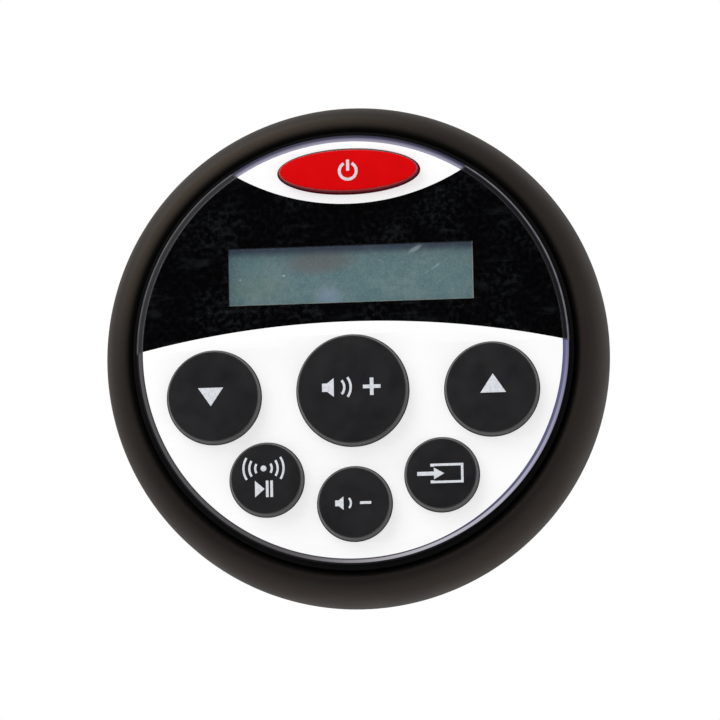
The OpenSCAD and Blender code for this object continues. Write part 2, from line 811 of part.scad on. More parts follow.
module heat_sink() {
    boss = stud_r + stud_boss_wall;
    color("#9fa2a6") difference() {
        union() {
            disc(sink_r, sink_z0, sink_z1);
            fins();
            for (place = stud_places) at(place) disc(boss, fin_z, sink_z0 + fin_t / 2);
        }
        for (place = stud_places) at(place) disc(stud_r + seat_gap, fin_z - cut, stud_z1 + rest_gap);
        for (place = cover_places)
            at(place) disc(cover_screw[2] + slip_gap, sink_z0 - cut, sink_z1 + cut);
        for (g = glands) at(g) disc(g[3] + seat_gap, sink_z0 - cut, sink_z1 + cut);
        for (side = [-1, 1]) at([side * clamp_screw_x, chip_y])
            disc(board_screw[2] + seat_gap, sink_z0 + sink_t / 3, sink_z1 + cut);
    }
}

module cover_screws() {
    color("silver") for (place = cover_places) at(place, sink_z0) mirror([0, 0, 1])
        screw(cover_screw, sink_t + seal_t + cover_screw_l - rest_gap);
}

module main_board() {
    color("#1f5a35") difference() {
        disc(main_r, main_z0, main_z1);
        for (place = standoff_places)
            at(place) disc(board_screw[2] + slip_gap, main_z0 - cut, main_z1 + cut);
    }
}

// Hexagonal spacers from the control board to the main board, tapped at the rear
module standoffs() {
    tap_l = stack_h / 3;
    color("#c9a84c") for (place = standoff_places) at(place) difference() {
        translate([0, 0, main_z1]) cylinder(d = standoff_af / cos(30), h = stack_h, $fn = 6);
        disc(board_screw[2] + seat_gap, main_z1 - cut, main_z1 + tap_l);
    }
}

module board_screws() {
    color("silver") for (place = standoff_places) at(place, main_z0) mirror([0, 0, 1])
        screw(board_screw, board_t + stack_h / 3 - rest_gap);
}

module board_header() {
    color("#18181a") at([0, header_y]) block(header_w, header_h, main_z1, flange_z);
}

module tuner_can() {
    color("#b4b7ba") at([0, tuner_y]) block(tuner_w, tuner_h, main_z1, main_z1 + tuner_t);
}

module capacitors() {
    color("#24304a") for (place = capacitor_places)
        at(place) disc(capacitor_d / 2, main_z0 - capacitor_h, main_z0);
}

// Ring core lying on the main board
module choke() {
    core_r = choke_t / 2;
    color("#b4692c") at(choke_place, main_z0 - core_r) rotate_extrude()
        translate([choke_d / 2 - core_r, 0]) circle(r = core_r);
}

// Flat package on the rear cover, with a row of leads up to the main board
module amplifier_chip() {
    lead_y = chip_y + chip_h / 2 + lead_reach;
    lead_z = sink_z1 + chip_t / 2;
    first = -(chip_leads - 1) / 2;
    color("#161618") at([0, chip_y]) block(chip_w, chip_h, sink_z1, chip_top_z);
    color("#c0c2c4") for (i = [0 : chip_leads - 1]) translate([(first + i) * lead_pitch, lead_y, 0]) {
        block(lead_w, lead_w, lead_z, main_z0);
        translate([-lead_w / 2, -lead_reach - lead_w / 2, lead_z])
            cube([lead_w, lead_reach + lead_w, lead_w]);
    }
}

module chip_clamp() {
    bar_w = 2 * (clamp_screw_x + board_screw[0]);
    color("#a8acb0") at([0, chip_y]) difference() {
        block(bar_w, clamp_bar_h, chip_top_z, chip_top_z + clamp_bar_t);
        for (side = [-1, 1]) at([side * clamp_screw_x, 0])
            disc(board_screw[2] + slip_gap, chip_top_z - cut, chip_top_z + clamp_bar_t + cut);
    }
}

module clamp_screws() {
    color("silver") for (side = [-1, 1]) at([side * clamp_screw_x, chip_y], chip_top_z + clamp_bar_t)
        screw(board_screw, clamp_bar_t + chip_t + sink_t / 2);
}

// Grommet: an outer flange, a neck through the rear cover and a lip inside
module gland(g) {
    inner_r = g[3] + gland_lip_w;
    inner_z = sink_z1 + gland_lip_t;
    at(g) rotate_extrude() polygon([
        [g[2], sink_z0 - gland_flange_t], [g[4] - gland_flange_t / 2, sink_z0 - gland_flange_t],
        [g[4], sink_z0 - gland_flange_t / 2], [g[4], sink_z0], [g[3], sink_z0],
        [g[3], sink_z1], [inner_r, sink_z1], [inner_r - gland_lip_w / 2, inner_z], [g[2], inner_z],
    ]);
}

module harness_gland() {
    color("#17171a") gland(harness);
}

module antenna_gland() {
    color("#17171a") gland(antenna);
}

module mounting_studs() {
    color("#b9bcc0") for (place = stud_places) at(place) disc(stud_r, stud_z0, stud_z1);
}

// One right-angle bend of the strip about an axis along its width
module strip_bend(start) {
    rotate([90, 0, 0]) rotate_extrude(angle = 90, start = start)
        translate([bend_r, -bracket_w / 2]) square([bracket_t, bracket_w]);
}

// U-shaped strip: base across the studs, two legs and two feet turned outwards
module mounting_bracket() {
    base_x = leg_x - bend_r;
    leg_z0 = base_z1 + bend_r;
    leg_z1 = foot_z - bracket_t - bend_r;
    toe_x = leg_x + bracket_t + bend_r;
    color("#aeb1b5") difference() {
        union() {
            block(2 * base_x, bracket_w, base_z0, base_z1);
            for (side = [0, 1]) mirror([side, 0, 0]) {
                translate([base_x, 0, leg_z0]) strip_bend(270);
                translate([leg_x, -bracket_w / 2, leg_z0]) cube([bracket_t, bracket_w, leg_z1 - leg_z0]);
                translate([toe_x, 0, leg_z1]) strip_bend(90);
                translate([toe_x, -bracket_w / 2, foot_z - bracket_t]) cube([foot_l, bracket_w, bracket_t]);
            }
        }
        for (place = stud_places) at(place) disc(stud_r + 2 * slip_gap, base_z0 - cut, base_z1 + cut);
    }
}

module flat_washers() {
    color("#b9bcc0") for (place = stud_places)
        at(place) tube(stud_r + washer_w, stud_r + slip_gap, washer_z, base_z0);
}

// Spring washers with their slit
module spring_washers() {
    color("#9a9da1") for (place = stud_places) at(place) difference() {
        tube(stud_r + spring_washer_w, stud_r + slip_gap, spring_washer_z, washer_z);
        translate([0, -spring_washer_slit / 2, spring_washer_z - cut])
            cube([stud_r + washer_w, spring_washer_slit, spring_washer_t + 2 * cut]);
    }
}

// Thumb nuts with a knurled rim
module clamp_nuts() {
    color("#b89a52") for (place = stud_places) at(place) difference() {
        translate([0, 0, nut_z]) linear_extrude(nut_h) polygon([
            for (i = [0 : 2 * nut_knurls - 1]) let (t = 180 * i / nut_knurls)
                (nut_d / 2 - (i % 2) * knurl_h) * [cos(t), sin(t)]
        ]);
        disc(stud_r + seat_gap, nut_z - cut, spring_washer_z + cut);
    }
}

upright() bezel_ring();
upright() bezel_screws();
upright() panel_gasket();
upright() front_frame();
upright() trim_ring();
upright() fascia_plate();
upright() display_mask();
upright() display_pane();
upright() lcd_glass();
upright() lcd_frame();
upright() light_guide();
upright() contact_strips();
upright() backlight_lamps();
upright() power_key();
upright() volume_up_key();
upright() volume_down_key();
upright() seek_up_key();
upright() seek_down_key();
upright() band_key();
upright() mode_key();
upright() plunger(power);  // power_plunger
upright() plunger(volume_up);  // volume_up_plunger
upright() plunger(volume_down);  // volume_down_plunger
upright() plunger(seek_up);  // seek_up_plunger
upright() plunger(seek_down);  // seek_down_plunger
upright() plunger(band);  // band_plunger
upright() plunger(mode);  // mode_plunger
upright() keypad_mat();
upright() control_board();
upright() tact_switches();
upright() frame_screws();
upright() body_seal();
upright() rear_body();
upright() cover_seal();
upright() heat_sink();
upright() cover_screws();
upright() main_board();
upright() standoffs();
upright() board_screws();
upright() board_header();
upright() tuner_can();
upright() capacitors();
upright() choke();
upright() amplifier_chip();
upright() chip_clamp();
upright() clamp_screws();
upright() harness_gland();
upright() antenna_gland();
upright() mounting_studs();
upright() mounting_bracket();
upright() flat_washers();
upright() spring_washers();
upright() clamp_nuts();
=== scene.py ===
# %% [markdown]
# # A round marine stereo
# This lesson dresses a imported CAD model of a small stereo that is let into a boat's
# dash: a soft black ring, a white printed face with a dark display band, seven keys,
# and behind the panel a sealed body with a finned cover and a clamp bracket.
# The CAD model is the frame. Everything below is in metres in that same frame: +Z is
# up, the face looks along -Y, and the panel lies in the plane y = 0. The drawing
# sizes are easier to read in millimetres, so shapes are written in millimetres and
# scaled once, as they become meshes.

# %% Load the frame
import math
import bmesh
import bpy
from mathutils import Matrix, Vector


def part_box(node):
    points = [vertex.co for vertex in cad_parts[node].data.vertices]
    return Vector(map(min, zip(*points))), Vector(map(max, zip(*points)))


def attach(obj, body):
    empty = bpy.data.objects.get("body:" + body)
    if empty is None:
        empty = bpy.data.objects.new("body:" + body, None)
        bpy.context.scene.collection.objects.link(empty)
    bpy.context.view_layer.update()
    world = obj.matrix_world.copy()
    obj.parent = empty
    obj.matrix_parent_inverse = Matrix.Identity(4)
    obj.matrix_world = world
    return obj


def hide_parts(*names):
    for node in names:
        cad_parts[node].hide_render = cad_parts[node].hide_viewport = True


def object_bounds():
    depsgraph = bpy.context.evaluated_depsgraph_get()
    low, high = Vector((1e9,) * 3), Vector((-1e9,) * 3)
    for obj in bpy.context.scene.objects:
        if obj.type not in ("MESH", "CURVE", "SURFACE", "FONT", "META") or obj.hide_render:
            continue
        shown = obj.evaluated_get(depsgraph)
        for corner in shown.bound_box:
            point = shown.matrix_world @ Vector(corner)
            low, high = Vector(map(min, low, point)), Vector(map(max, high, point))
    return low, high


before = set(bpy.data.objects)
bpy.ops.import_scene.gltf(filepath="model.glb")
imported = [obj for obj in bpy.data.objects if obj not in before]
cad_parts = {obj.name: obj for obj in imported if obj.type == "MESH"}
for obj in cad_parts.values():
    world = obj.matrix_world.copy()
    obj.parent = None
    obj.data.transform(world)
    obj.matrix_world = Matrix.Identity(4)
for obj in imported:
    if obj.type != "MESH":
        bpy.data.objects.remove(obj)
cad_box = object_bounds()
MM = 0.001
print("CAD box in mm:", [round(v / MM, 1) for corner in cad_box for v in corner])

# %% [markdown]
# ## Where the camera stands
# The photograph looks at the face from a little below and from the right: we see the
# lower and right walls of the keys, and the ring's rim shows most at the lower right.
# A camera could be placed by hand until it looks right, but the ellipses in the
# picture give its angles: 5.2 degrees to the right and 8.6 degrees below. The object
# also leans about one degree in the picture, which is a roll of the camera. A long
# lens from a metre away gives the picture's nearly flat perspective. The point that
# the camera looks at lies a little beside the face's middle, as in the picture.

# %% Camera
def added(name, data):
    """A new object for the data, linked to the scene."""
    thing = bpy.data.objects.new(name, data)
    bpy.context.scene.collection.objects.link(thing)
    return thing


AZIMUTH, ELEVATION, ROLL = math.radians(5.2), math.radians(-8.6), math.radians(1.1)
DISTANCE, AIM_RIGHT, AIM_UP = 1.0, 1.63, -2.33
face_low, face_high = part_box("fascia_plate")
FACE = -face_low.y / MM
face_middle = Vector((0, face_low.y, 0))

back = Vector((math.sin(AZIMUTH) * math.cos(ELEVATION),
               -math.cos(AZIMUTH) * math.cos(ELEVATION), math.sin(ELEVATION)))
side = Vector((math.cos(AZIMUTH), math.sin(AZIMUTH), 0))
up = back.cross(side)
right = side * math.cos(ROLL) - up * math.sin(ROLL)
over = up * math.cos(ROLL) + side * math.sin(ROLL)

camera_data = bpy.data.cameras.new("photo_camera")
camera_data.sensor_width = 36
camera_data.lens = 245
camera = added("photo_camera", camera_data)
aim = face_middle + right * AIM_RIGHT * MM + over * AIM_UP * MM
place = aim + back * DISTANCE
camera.matrix_world = Matrix((
    (right.x, over.x, back.x, place.x), (right.y, over.y, back.y, place.y),
    (right.z, over.z, back.z, place.z), (0, 0, 0, 1)))
bpy.context.scene.camera = camera
print("camera at", [round(v, 3) for v in place])

# %% [markdown]
# ## A bench for node trees
# Materials and Geometry Nodes are both trees of nodes. Adding each node and link by
# hand is long, so one small class wraps a socket. With Python's operators overloaded,
# `1 - mask * 0.5` adds the Math nodes by itself. Every other node comes from one
# method, `node`, which takes the node's type, its settings and its sockets' values.

# %% Sockets that can be written as sums
def sum_of(operation, turned_round=False):
    """A method that adds a Math node; turned round, the other value comes first."""
    def method(self, other):
        first, second = (other, self) if turned_round else (self, other)
        return self.bench.node("ShaderNodeMath", {"operation": operation}, {0: first, 1: second})
    return method


class Wire:
    """A socket that can stand in a Python expression."""
    def __init__(self, bench, socket):
        self.bench, self.socket = bench, socket

    __add__, __radd__ = sum_of("ADD"), sum_of("ADD", True)
    __sub__, __rsub__ = sum_of("SUBTRACT"), sum_of("SUBTRACT", True)
    __mul__, __rmul__ = sum_of("MULTIPLY"), sum_of("MULTIPLY", True)
    __truediv__, __rtruediv__ = sum_of("DIVIDE"), sum_of("DIVIDE", True)
    __pow__, __rpow__ = sum_of("POWER"), sum_of("POWER", True)
    most, least = sum_of("MAXIMUM"), sum_of("MINIMUM")

    def rise(self, start, end):
        """Goes smoothly from 0 to 1 while the value goes from start to end."""
        return self.bench.node("ShaderNodeMapRange", {"interpolation_type": "SMOOTHSTEP"},
                               {0: self, 1: start, 2: end})


class Bench:
    """A node tree that is being filled."""
    def __init__(self, tree):
        self.tree = tree

    def node(self, kind, settings=None, values=None, out=0):
        made = self.tree.nodes.new(kind)
        for name, value in (settings or {}).items():
            setattr(made, name, value)
        for name, value in (values or {}).items():
            if isinstance(value, Wire):
                self.tree.links.new(value.socket, made.inputs[name])
            else:
                made.inputs[name].default_value = value
        return Wire(self, made.outputs[out]) if len(made.outputs) else None

print("bench ready")

# %% [markdown]
# ## A finish
# A finish is a material with one Principled shader. What stays the same all over is
# set on the shader's own sockets. What varies, such as grain, smudges and dust, is
# worked out from Object coordinates, so the pattern has a real size in millimetres
# and stays put when a key is pressed. Colours are written as they read on a screen.

# %% Finishes
def tint(red, green, blue):
    """A screen colour, 0 to 255, as the linear colour that Blender works in."""
    share = [c / 255 for c in (red, green, blue)]
    return (*[c / 12.92 if c < 0.0405 else ((c + 0.055) / 1.055) ** 2.4 for c in share], 1)


class Finish(Bench):
    def __init__(self, name, **fixed):
        self.material = bpy.data.materials.new(name)
        self.material.use_nodes = True
        super().__init__(self.material.node_tree)
        self.tree.nodes.clear()
        self.where = self.node("ShaderNodeTexCoord", out="Object")
        shader = self.node("ShaderNodeBsdfPrincipled", None,
                           {k.replace("_", " "): v for k, v in fixed.items()})
        self.shader = shader.socket.node
        self.node("ShaderNodeOutputMaterial", None, {"Surface": shader})

    def feed(self, **inputs):
        for name, wire in inputs.items():
            self.tree.links.new(wire.socket, self.shader.inputs[name.replace("_", " ")])
        return self.material

    def mapped(self, size, stretch=(1, 1, 1), move=(0, 0, 0), turn=(0, 0, 0)):
        scale = [s / (size * MM) for s in stretch]
        return self.node("ShaderNodeMapping", None, {
            "Vector": self.where, "Location": move, "Rotation": turn, "Scale": scale})

    def noise(self, size, detail=2.0, stretch=(1, 1, 1), move=(0, 0, 0), turn=(0, 0, 0)):
        """Cloudy noise, about 0.2 to 0.8, whose blotches are size millimetres across."""
        return self.node("ShaderNodeTexNoise", None, {
            "Vector": self.mapped(size, stretch, move, turn), "Scale": 1.0, "Detail": detail})

    def specks(self, size, reach):
        """Small round specks: 1 at the middle of a cell, 0 beyond reach times its size."""
        cell = self.node("ShaderNodeTexVoronoi", None, {
            "Vector": self.mapped(size), "Scale": 1.0})
        return cell.rise(reach, reach * 0.4)

    def blend(self, share, first, second):
        return self.node("ShaderNodeMix", {"data_type": "RGBA"},
                         {0: share, 6: first, 7: second}, out=2)

    def layered(self, colour, *coats):
        """Lays coats over a colour, each given as its share and its own colour."""
        for share, coat in coats:
            colour = self.blend(share, colour, coat)
        return colour

    def bump(self, height, depth):
        return self.node("ShaderNodeBump", None, {
            "Strength": 1.0, "Distance": depth * MM, "Height": height})

    def across(self):
        """Position on the face in millimetres: x to the right and y up."""
        split = self.node("ShaderNodeSeparateXYZ", None, {0: self.where})
        sockets = split.socket.node.outputs
        return Wire(self, sockets[0]) / MM, Wire(self, sockets[2]) / MM

    def height(self):
        """How far in front of the panel, in millimetres."""
        return self.node("ShaderNodeSeparateXYZ", None, {0: self.where}, out=1) / -MM

print("finish class ready")

# %% [markdown]
# ## Moulded plastic and rubber
# Most of the stereo is moulded. A moulded skin is never one flat colour: the tool's
# etched grain scatters light, handling leaves smoother patches, and the colour drifts
# a little. One recipe with a few sizes makes all of these, so that each piece gets
# its own grain without its own copy of the tree.

# %% A moulded skin
GRAIN_MOVE = (3.1, 1.7, 0.4)


def shaded(colour, factor):
    """The colour made darker or paler by a factor."""
    return (*[min(c * factor, 1) for c in colour[:3]], 1)


def mottled(cloud, fine):
    """Where a moulded colour is paler: broad clouds with some fine grain in them."""
    return (cloud * 0.7 + fine * 0.3).rise(0.3, 0.7)


def moulded(name, colour, rough, grain, depth, drift=0.25, patch=9.0, **fixed):
    finish = Finish(name, **fixed)
    cloud = finish.noise(patch, 3.0)
    fine = finish.noise(grain, 2.0, move=GRAIN_MOVE)
    return finish.feed(
        Base_Color=finish.blend(
            mottled(cloud, fine), shaded(colour, 1 - drift), shaded(colour, 1 + drift)),
        Roughness=(cloud - 0.5) * 0.25 + (fine - 0.5) * 0.1 + rough,
        Normal=finish.bump(fine, depth))


frame_skin = moulded("frame_black", tint(8, 8, 8), 0.8, 0.3, 0.015, Specular_IOR_Level=0.15)
body_skin = moulded("body_black", tint(38, 38, 41), 0.52, 0.45, 0.05, 0.12, 18)
gasket_skin = moulded("gasket_foam", tint(44, 43, 42), 0.85, 0.35, 0.12, 0.35, 2.5)
gland_skin = moulded("gland_rubber", tint(30, 30, 31), 0.66, 0.3, 0.02, 0.2, 4)
print("moulded skins:", [m.name for m in (frame_skin, body_skin, gasket_skin, gland_skin)])

# %% [markdown]
# ## The ring sweep
# The ring round the face, the trim, the gasket, the keys and the washers are all
# turned shapes: one outline carried round an axis. The Screw or Spin tool could do
# it, but a Geometry Nodes tree keeps the rule in sight: the piece's own mesh is the
# outline, drawn as radius and height, Mesh to Curve reads it, and Curve to Mesh
# carries it round a circle whose radius, step count and place are named inputs. The
# last Transform stands the ring upright, so that height points out of the panel.

# %% Geometry Nodes: carry an outline round a circle
class Recipe(Bench):
    """A Geometry Nodes tree with named inputs."""
    def __init__(self, name, inputs):
        super().__init__(bpy.data.node_groups.new(name, "GeometryNodeTree"))
        face = self.tree.interface
        face.new_socket("Geometry", in_out="OUTPUT", socket_type="NodeSocketGeometry")
        for label, kind in {"Geometry": "Geometry", **inputs, "Finish": "Material"}.items():
            face.new_socket(label, in_out="INPUT", socket_type="NodeSocket" + kind)
        entry = self.tree.nodes.new("NodeGroupInput")
        self.given = {s.name: Wire(self, s) for s in entry.outputs if s.name}

    def close(self, geometry):
        real = self.node("GeometryNodeRealizeInstances", None, {0: geometry})
        dressed = self.node("GeometryNodeSetMaterial", None, {
            "Geometry": real, "Material": self.given["Finish"]})
        self.node("NodeGroupOutput", None, {0: dressed})
        print(self.tree.name + ":", list(self.given))
        return self.tree


sweep = Recipe("carry outline round", {
    "Path radius": "Float", "Steps": "Int", "Centre": "Vector"})
outline = sweep.node("GeometryNodeMeshToCurve", None, {0: sweep.given["Geometry"]})
circle = sweep.node("GeometryNodeCurvePrimitiveCircle", None, {
    "Radius": sweep.given["Path radius"], "Resolution": sweep.given["Steps"]})
swept = sweep.node("GeometryNodeCurveToMesh", None, {"Curve": circle, "Profile Curve": outline})
stood = sweep.node("GeometryNodeTransform", None, {
    "Geometry": swept, "Translation": sweep.given["Centre"],
    "Rotation": (-math.pi / 2, 0, 0), "Scale": (MM, MM, MM)})
sweep_tree = sweep.close(stood)

# %% [markdown]
# ## From a tree to a piece
# So the tree runs on a start object, its result becomes a mesh, and the start object
# goes. Every new mesh is then tidied in the same way: doubles merged, faces turned
# outwards, and shading smooth except at true edges.

# %% Running a tree
def tidy(name, mesh, sharp=32):
    """Merges doubles, turns faces outwards, keeps true edges crisp and adds the object."""
    bm = bmesh.new()
    bm.from_mesh(mesh)
    bmesh.ops.remove_doubles(bm, verts=bm.verts, dist=2e-7)
    bmesh.ops.recalc_face_normals(bm, faces=bm.faces)
    bm.to_mesh(mesh)
    bm.free()
    mesh.shade_smooth()
    mesh.set_sharp_from_angle(angle=math.radians(sharp))
    return added(name, mesh)


def evaluated(source):
    """The plain mesh that a curve or a modifier makes of source, which is then removed."""
    mesh = bpy.data.meshes.new_from_object(
        source.evaluated_get(bpy.context.evaluated_depsgraph_get()))
    bpy.data.objects.remove(source)
    return mesh


def grow(name, tree, start, finish, sizes):
    """Runs a tree on the start mesh and gives back a plain mesh piece."""
    source = added(name + "_start", start)
    modifier = source.modifiers.new("recipe", "NODES")
    modifier.node_group = tree
    sockets = {s.name: s.identifier for s in tree.interface.items_tree if s.in_out == "INPUT"}
    for label, value in {**sizes, "Finish": finish}.items():
        modifier[sockets[label]] = value
    return tidy(name, evaluated(source))


def turned(name, outline, finish, steps, centre=(0, 0), closed=True):
    """A ring from (radius, height) points in millimetres, in order round the section."""
    reach = sum(r for r, h in outline) / len(outline)
    start = bpy.data.meshes.new(name)
    last = len(outline) if closed else len(outline) - 1
    start.from_pydata([(r - reach, h, 0) for r, h in outline],
                      [(i, (i + 1) % len(outline)) for i in range(last)], [])
    return grow(name, sweep_tree, start, finish, {
        "Path radius": reach, "Steps": steps, "Centre": (centre[0] * MM, 0, centre[1] * MM)})


def settle(piece, body, slot, *nodes):
    """The piece rides on its body and stands for its CAD nodes, which it hides; slot is not used.
    """
    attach(piece, body)
    if nodes:
        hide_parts(*nodes)
    return piece


def size(piece):
    corners = [Vector(c) for c in piece.bound_box]
    spans = [max(c[i] for c in corners) - min(c[i] for c in corners) for i in range(3)]
    box = " x ".join(f"{s / MM:.2f}" for s in spans)
    return f"{piece.name}: {len(piece.data.polygons)} faces, {box} mm"

print("helpers ready, trees so far:", len(bpy.data.node_groups))

# %% [markdown]
# ## The soft black ring
# The outer ring is a hollow moulding with a soft-touch coat. Its outside is a short
# straight edge by the panel, then a quarter of an ellipse up to the crest, and a steep
# rounding down to the groove round the face. A torus would be too round, so the outline
# follows the CAD section, only with many more points so that no facet shows.
# The groove has painted shade: it is darker than the coat from the crest outwards, which
# turns browner and duller towards the rim. The crest at the upper left has painted light,
# paler, and the lower half has painted shade, darker. So the colour also asks how far out a
# point lies, and on which side.

# %% The ring's coat
def distance(x, y):
    """How far a point lies from the middle."""
    return (x ** 2 + y ** 2) ** 0.5


ABOUT_RIM = 50
finish = Finish("soft_touch_black", Specular_IOR_Level=0.1)
cloud = finish.noise(14, 3.0)
fine = finish.noise(0.22, 2.0, move=GRAIN_MOVE)
x, y = finish.across()
out = distance(x, y)
# Painted shade: the groove stays dark up to the crest's inner rounding.
past_painted_groove_shade = out.rise(45.8, 47.5)
worn = out.rise(48.8, 51.0)
# Painted light: a paler crest at the upper left. Painted shade: a darker crest in the lower half.
painted_upper_left_light = ((y * 0.8 - x * 0.6) / ABOUT_RIM).rise(0.45, 1.05) * out.rise(49.4, 48.0)
painted_lower_shade = (y / -ABOUT_RIM).rise(0.1, 0.8) * out.rise(49.8, 47.5)
coat = finish.layered(
    finish.blend(mottled(cloud, fine), tint(38, 33, 30), tint(42, 37, 33)),
    (worn, tint(43, 34, 27)), (painted_upper_left_light, tint(62, 55, 48)), (painted_lower_shade, tint(30, 26, 24)))
ring_skin = finish.feed(
    Base_Color=finish.blend(past_painted_groove_shade, tint(13, 12, 11), coat),
    Roughness=(cloud - 0.5) * 0.2 + (fine - 0.5) * 0.1 + worn * 0.08 + 0.52,
    Normal=finish.bump(fine, 0.012))
print("ring coat nodes:", len(finish.tree.nodes))

# %% Outer ring
def arc(x, y, a, b, start, end, count):
    """Points on an arc of a circle or an ellipse, angles in degrees."""
    angles = [math.radians(start + (end - start) * i / count) for i in range(count + 1)]
    return [(x + a * math.cos(t), y + b * math.sin(t)) for t in angles]


def span(node):
    """Lowest and highest corner of a CAD node in millimetres as (x, height, y)."""
    low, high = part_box(node)
    return (low.x / MM, -high.y / MM, low.z / MM), (high.x / MM, -low.y / MM, high.z / MM)


ring_low, ring_high = span("bezel_ring")
RIM, CREST, STRAIGHT, EASE = ring_high[0], ring_high[1], 2, 0.25
SKIRT, SKIRT_BACK, SKIRT_LOW, SKIRT_HIGH = 45.4, 47, 4.5, 12
FALL_W, FALL_H, SHELL_R, SHELL_THICK = 2.0, 3.0, 50.2, 1.8
base = ring_low[1]
edge = base + STRAIGHT
crest_r = SKIRT + FALL_W + 0.15
section = (
    [(SHELL_R, base + 0.1), (SHELL_R + 0.1, base), (RIM - EASE, base), (RIM, base + EASE)]
    + arc(crest_r, edge, RIM - crest_r, CREST - edge, 0, 90, 40)
    + arc(SKIRT + FALL_W, CREST - FALL_H, FALL_W, FALL_H, 90, 180, 24)
    + [(SKIRT, SKIRT_LOW), (SKIRT_BACK, SKIRT_LOW), (SKIRT_BACK, SKIRT_HIGH)]
    + arc(crest_r, edge, SHELL_R - crest_r, CREST - edge - SHELL_THICK, 95, 0, 12))
ring = turned("soft_ring", section, ring_skin, 256)
settle(ring, "unit", "ring_plastic", "bezel_ring")
print(size(ring))

# %% [markdown]
# ## Flat pieces with openings
# The face, the display band and the printed signs are flat plates with openings. A
# boolean for each opening would leave rough edges, so a 2D curve is used: every closed
# outline inside another one becomes a hole, and the curve's own bevel rounds all edges
# alike. The curve is made a mesh and then stood up, because a finished piece keeps its
# place in its mesh.

# %% Plates from outlines
def dress(mesh, finish):
    mesh.materials.clear()
    mesh.materials.append(finish)


def plate(name, outlines, low, high, finish, edge):
    """A plate from outlines in the plane of the face, between two heights, edges rounded."""
    curve = bpy.data.curves.new(name, "CURVE")
    curve.dimensions, curve.fill_mode = "2D", "BOTH"
    curve.extrude, curve.bevel_depth = (high - low) / 2 - edge, edge
    curve.offset, curve.bevel_resolution = -edge, 2
    for points in outlines:
        spline = curve.splines.new("POLY")
        spline.points.add(len(points) - 1)
        for point, (x, y) in zip(spline.points, points):
            point.co = (x, y, 0, 1)
        spline.use_cyclic_u = True
    mesh = evaluated(added(name, curve))
    middle = -(low + high) / 2 * MM
    mesh.transform(Matrix(((MM, 0, 0, 0), (0, 0, -MM, middle), (0, MM, 0, 0), (0, 0, 0, 1))))
    dress(mesh, finish)
    return tidy(name, mesh)


def oval(x, y, a, b=None, count=128):
    return arc(x, y, a, b or a, 0, 360 - 360 / count, count - 1)


def plan(node):
    """A CAD node's middle on the face, its half width and its half height."""
    low, high = span(node)
    middle = ((low[0] + high[0]) / 2, (low[2] + high[2]) / 2)
    return middle, (high[0] - low[0]) / 2, (high[2] - low[2]) / 2


KEYS = ("volume_up", "volume_down", "seek_up", "seek_down", "band", "mode")
GAP, FLANGE, POWER_FLANGE = 0.25, 0.8, 0.5
key_at, key_r = {}, {}
for key in KEYS:
    key_at[key], half, _ = plan(key + "_key")
    key_r[key] = half - FLANGE
power_at, half, half_high = plan("power_key")
power_a, power_b = half - POWER_FLANGE, half_high - POWER_FLANGE
KEY_TOP, POWER_TOP = span("mode_key")[1][1], span("power_key")[1][1]
print({k: tuple(round(v, 2) for v in key_at[k]) + (round(2 * key_r[k], 2),) for k in KEYS})

# %% [markdown]
# ## The printed face
# The face is a white printed disc. Two white fields show: the large one with the keys,
# below a slowly curving edge, and a lens shape round the red key. The dark band with
# the display lies between them. Both edges are arcs of large circles, so the outlines
# are worked out as circles that cut each other. Behind the band the plate goes on,
# lower down, to carry it.
# The print is almost white with a low gloss: a faint orange-peel ripple and a few
# smudges are enough to keep it from looking like paper.

# %% Edges of the white fields
FACE_R = face_high.x / MM
LOWER_R, LOWER_TOP, UPPER_R, UPPER_LOW = 189.4, 5.65, 45.46, 30.07
LOWER_Y, UPPER_Y = LOWER_TOP - LOWER_R, UPPER_LOW + UPPER_R


def meeting(other_y, other_r):
    """Where the face's rim meets a circle about (0, other_y): x > 0, and the angle."""
    y = (FACE_R ** 2 - other_r ** 2 + other_y ** 2) / (2 * other_y)
    x = math.sqrt(FACE_R ** 2 - y ** 2)
    return x, math.degrees(math.atan2(y, x))


def bow(centre_y, radius, x, count=80):
    """Points on a circle about (0, centre_y), from x to -x on the side near the middle."""
    sign = -1 if centre_y > 0 else 1
    xs = [x - 2 * x * i / count for i in range(count + 1)]
    return [(v, centre_y + sign * math.sqrt(radius ** 2 - v * v)) for v in xs]


def rim(start, end, count):
    return arc(0, 0, FACE_R, FACE_R, start, end, count)


lower_x, low_angle = meeting(LOWER_Y, LOWER_R)
upper_x, high_angle = meeting(UPPER_Y, UPPER_R)
low_edge = bow(LOWER_Y, LOWER_R, lower_x)
high_edge = bow(UPPER_Y, UPPER_R, upper_x)
white_low = low_edge + rim(180 - low_angle, 360 + low_angle, 160)[1:-1]
white_high = rim(high_angle, 180 - high_angle, 60) + high_edge[::-1][1:-1]
print("edges meet the rim at", round(low_angle, 2), "and", round(high_angle, 2), "degrees")

# %% White face
finish = Finish("white_print", IOR=1.46)
peel = finish.noise(1.6, 1.0)
smudge = finish.noise(17, 3.0)
white_print = finish.feed(
    Base_Color=finish.blend(smudge.rise(0.35, 0.7), tint(252, 252, 252), tint(249, 249, 250)),
    Roughness=smudge * 0.2 + 0.26,
    Normal=finish.bump(peel, 0.006))

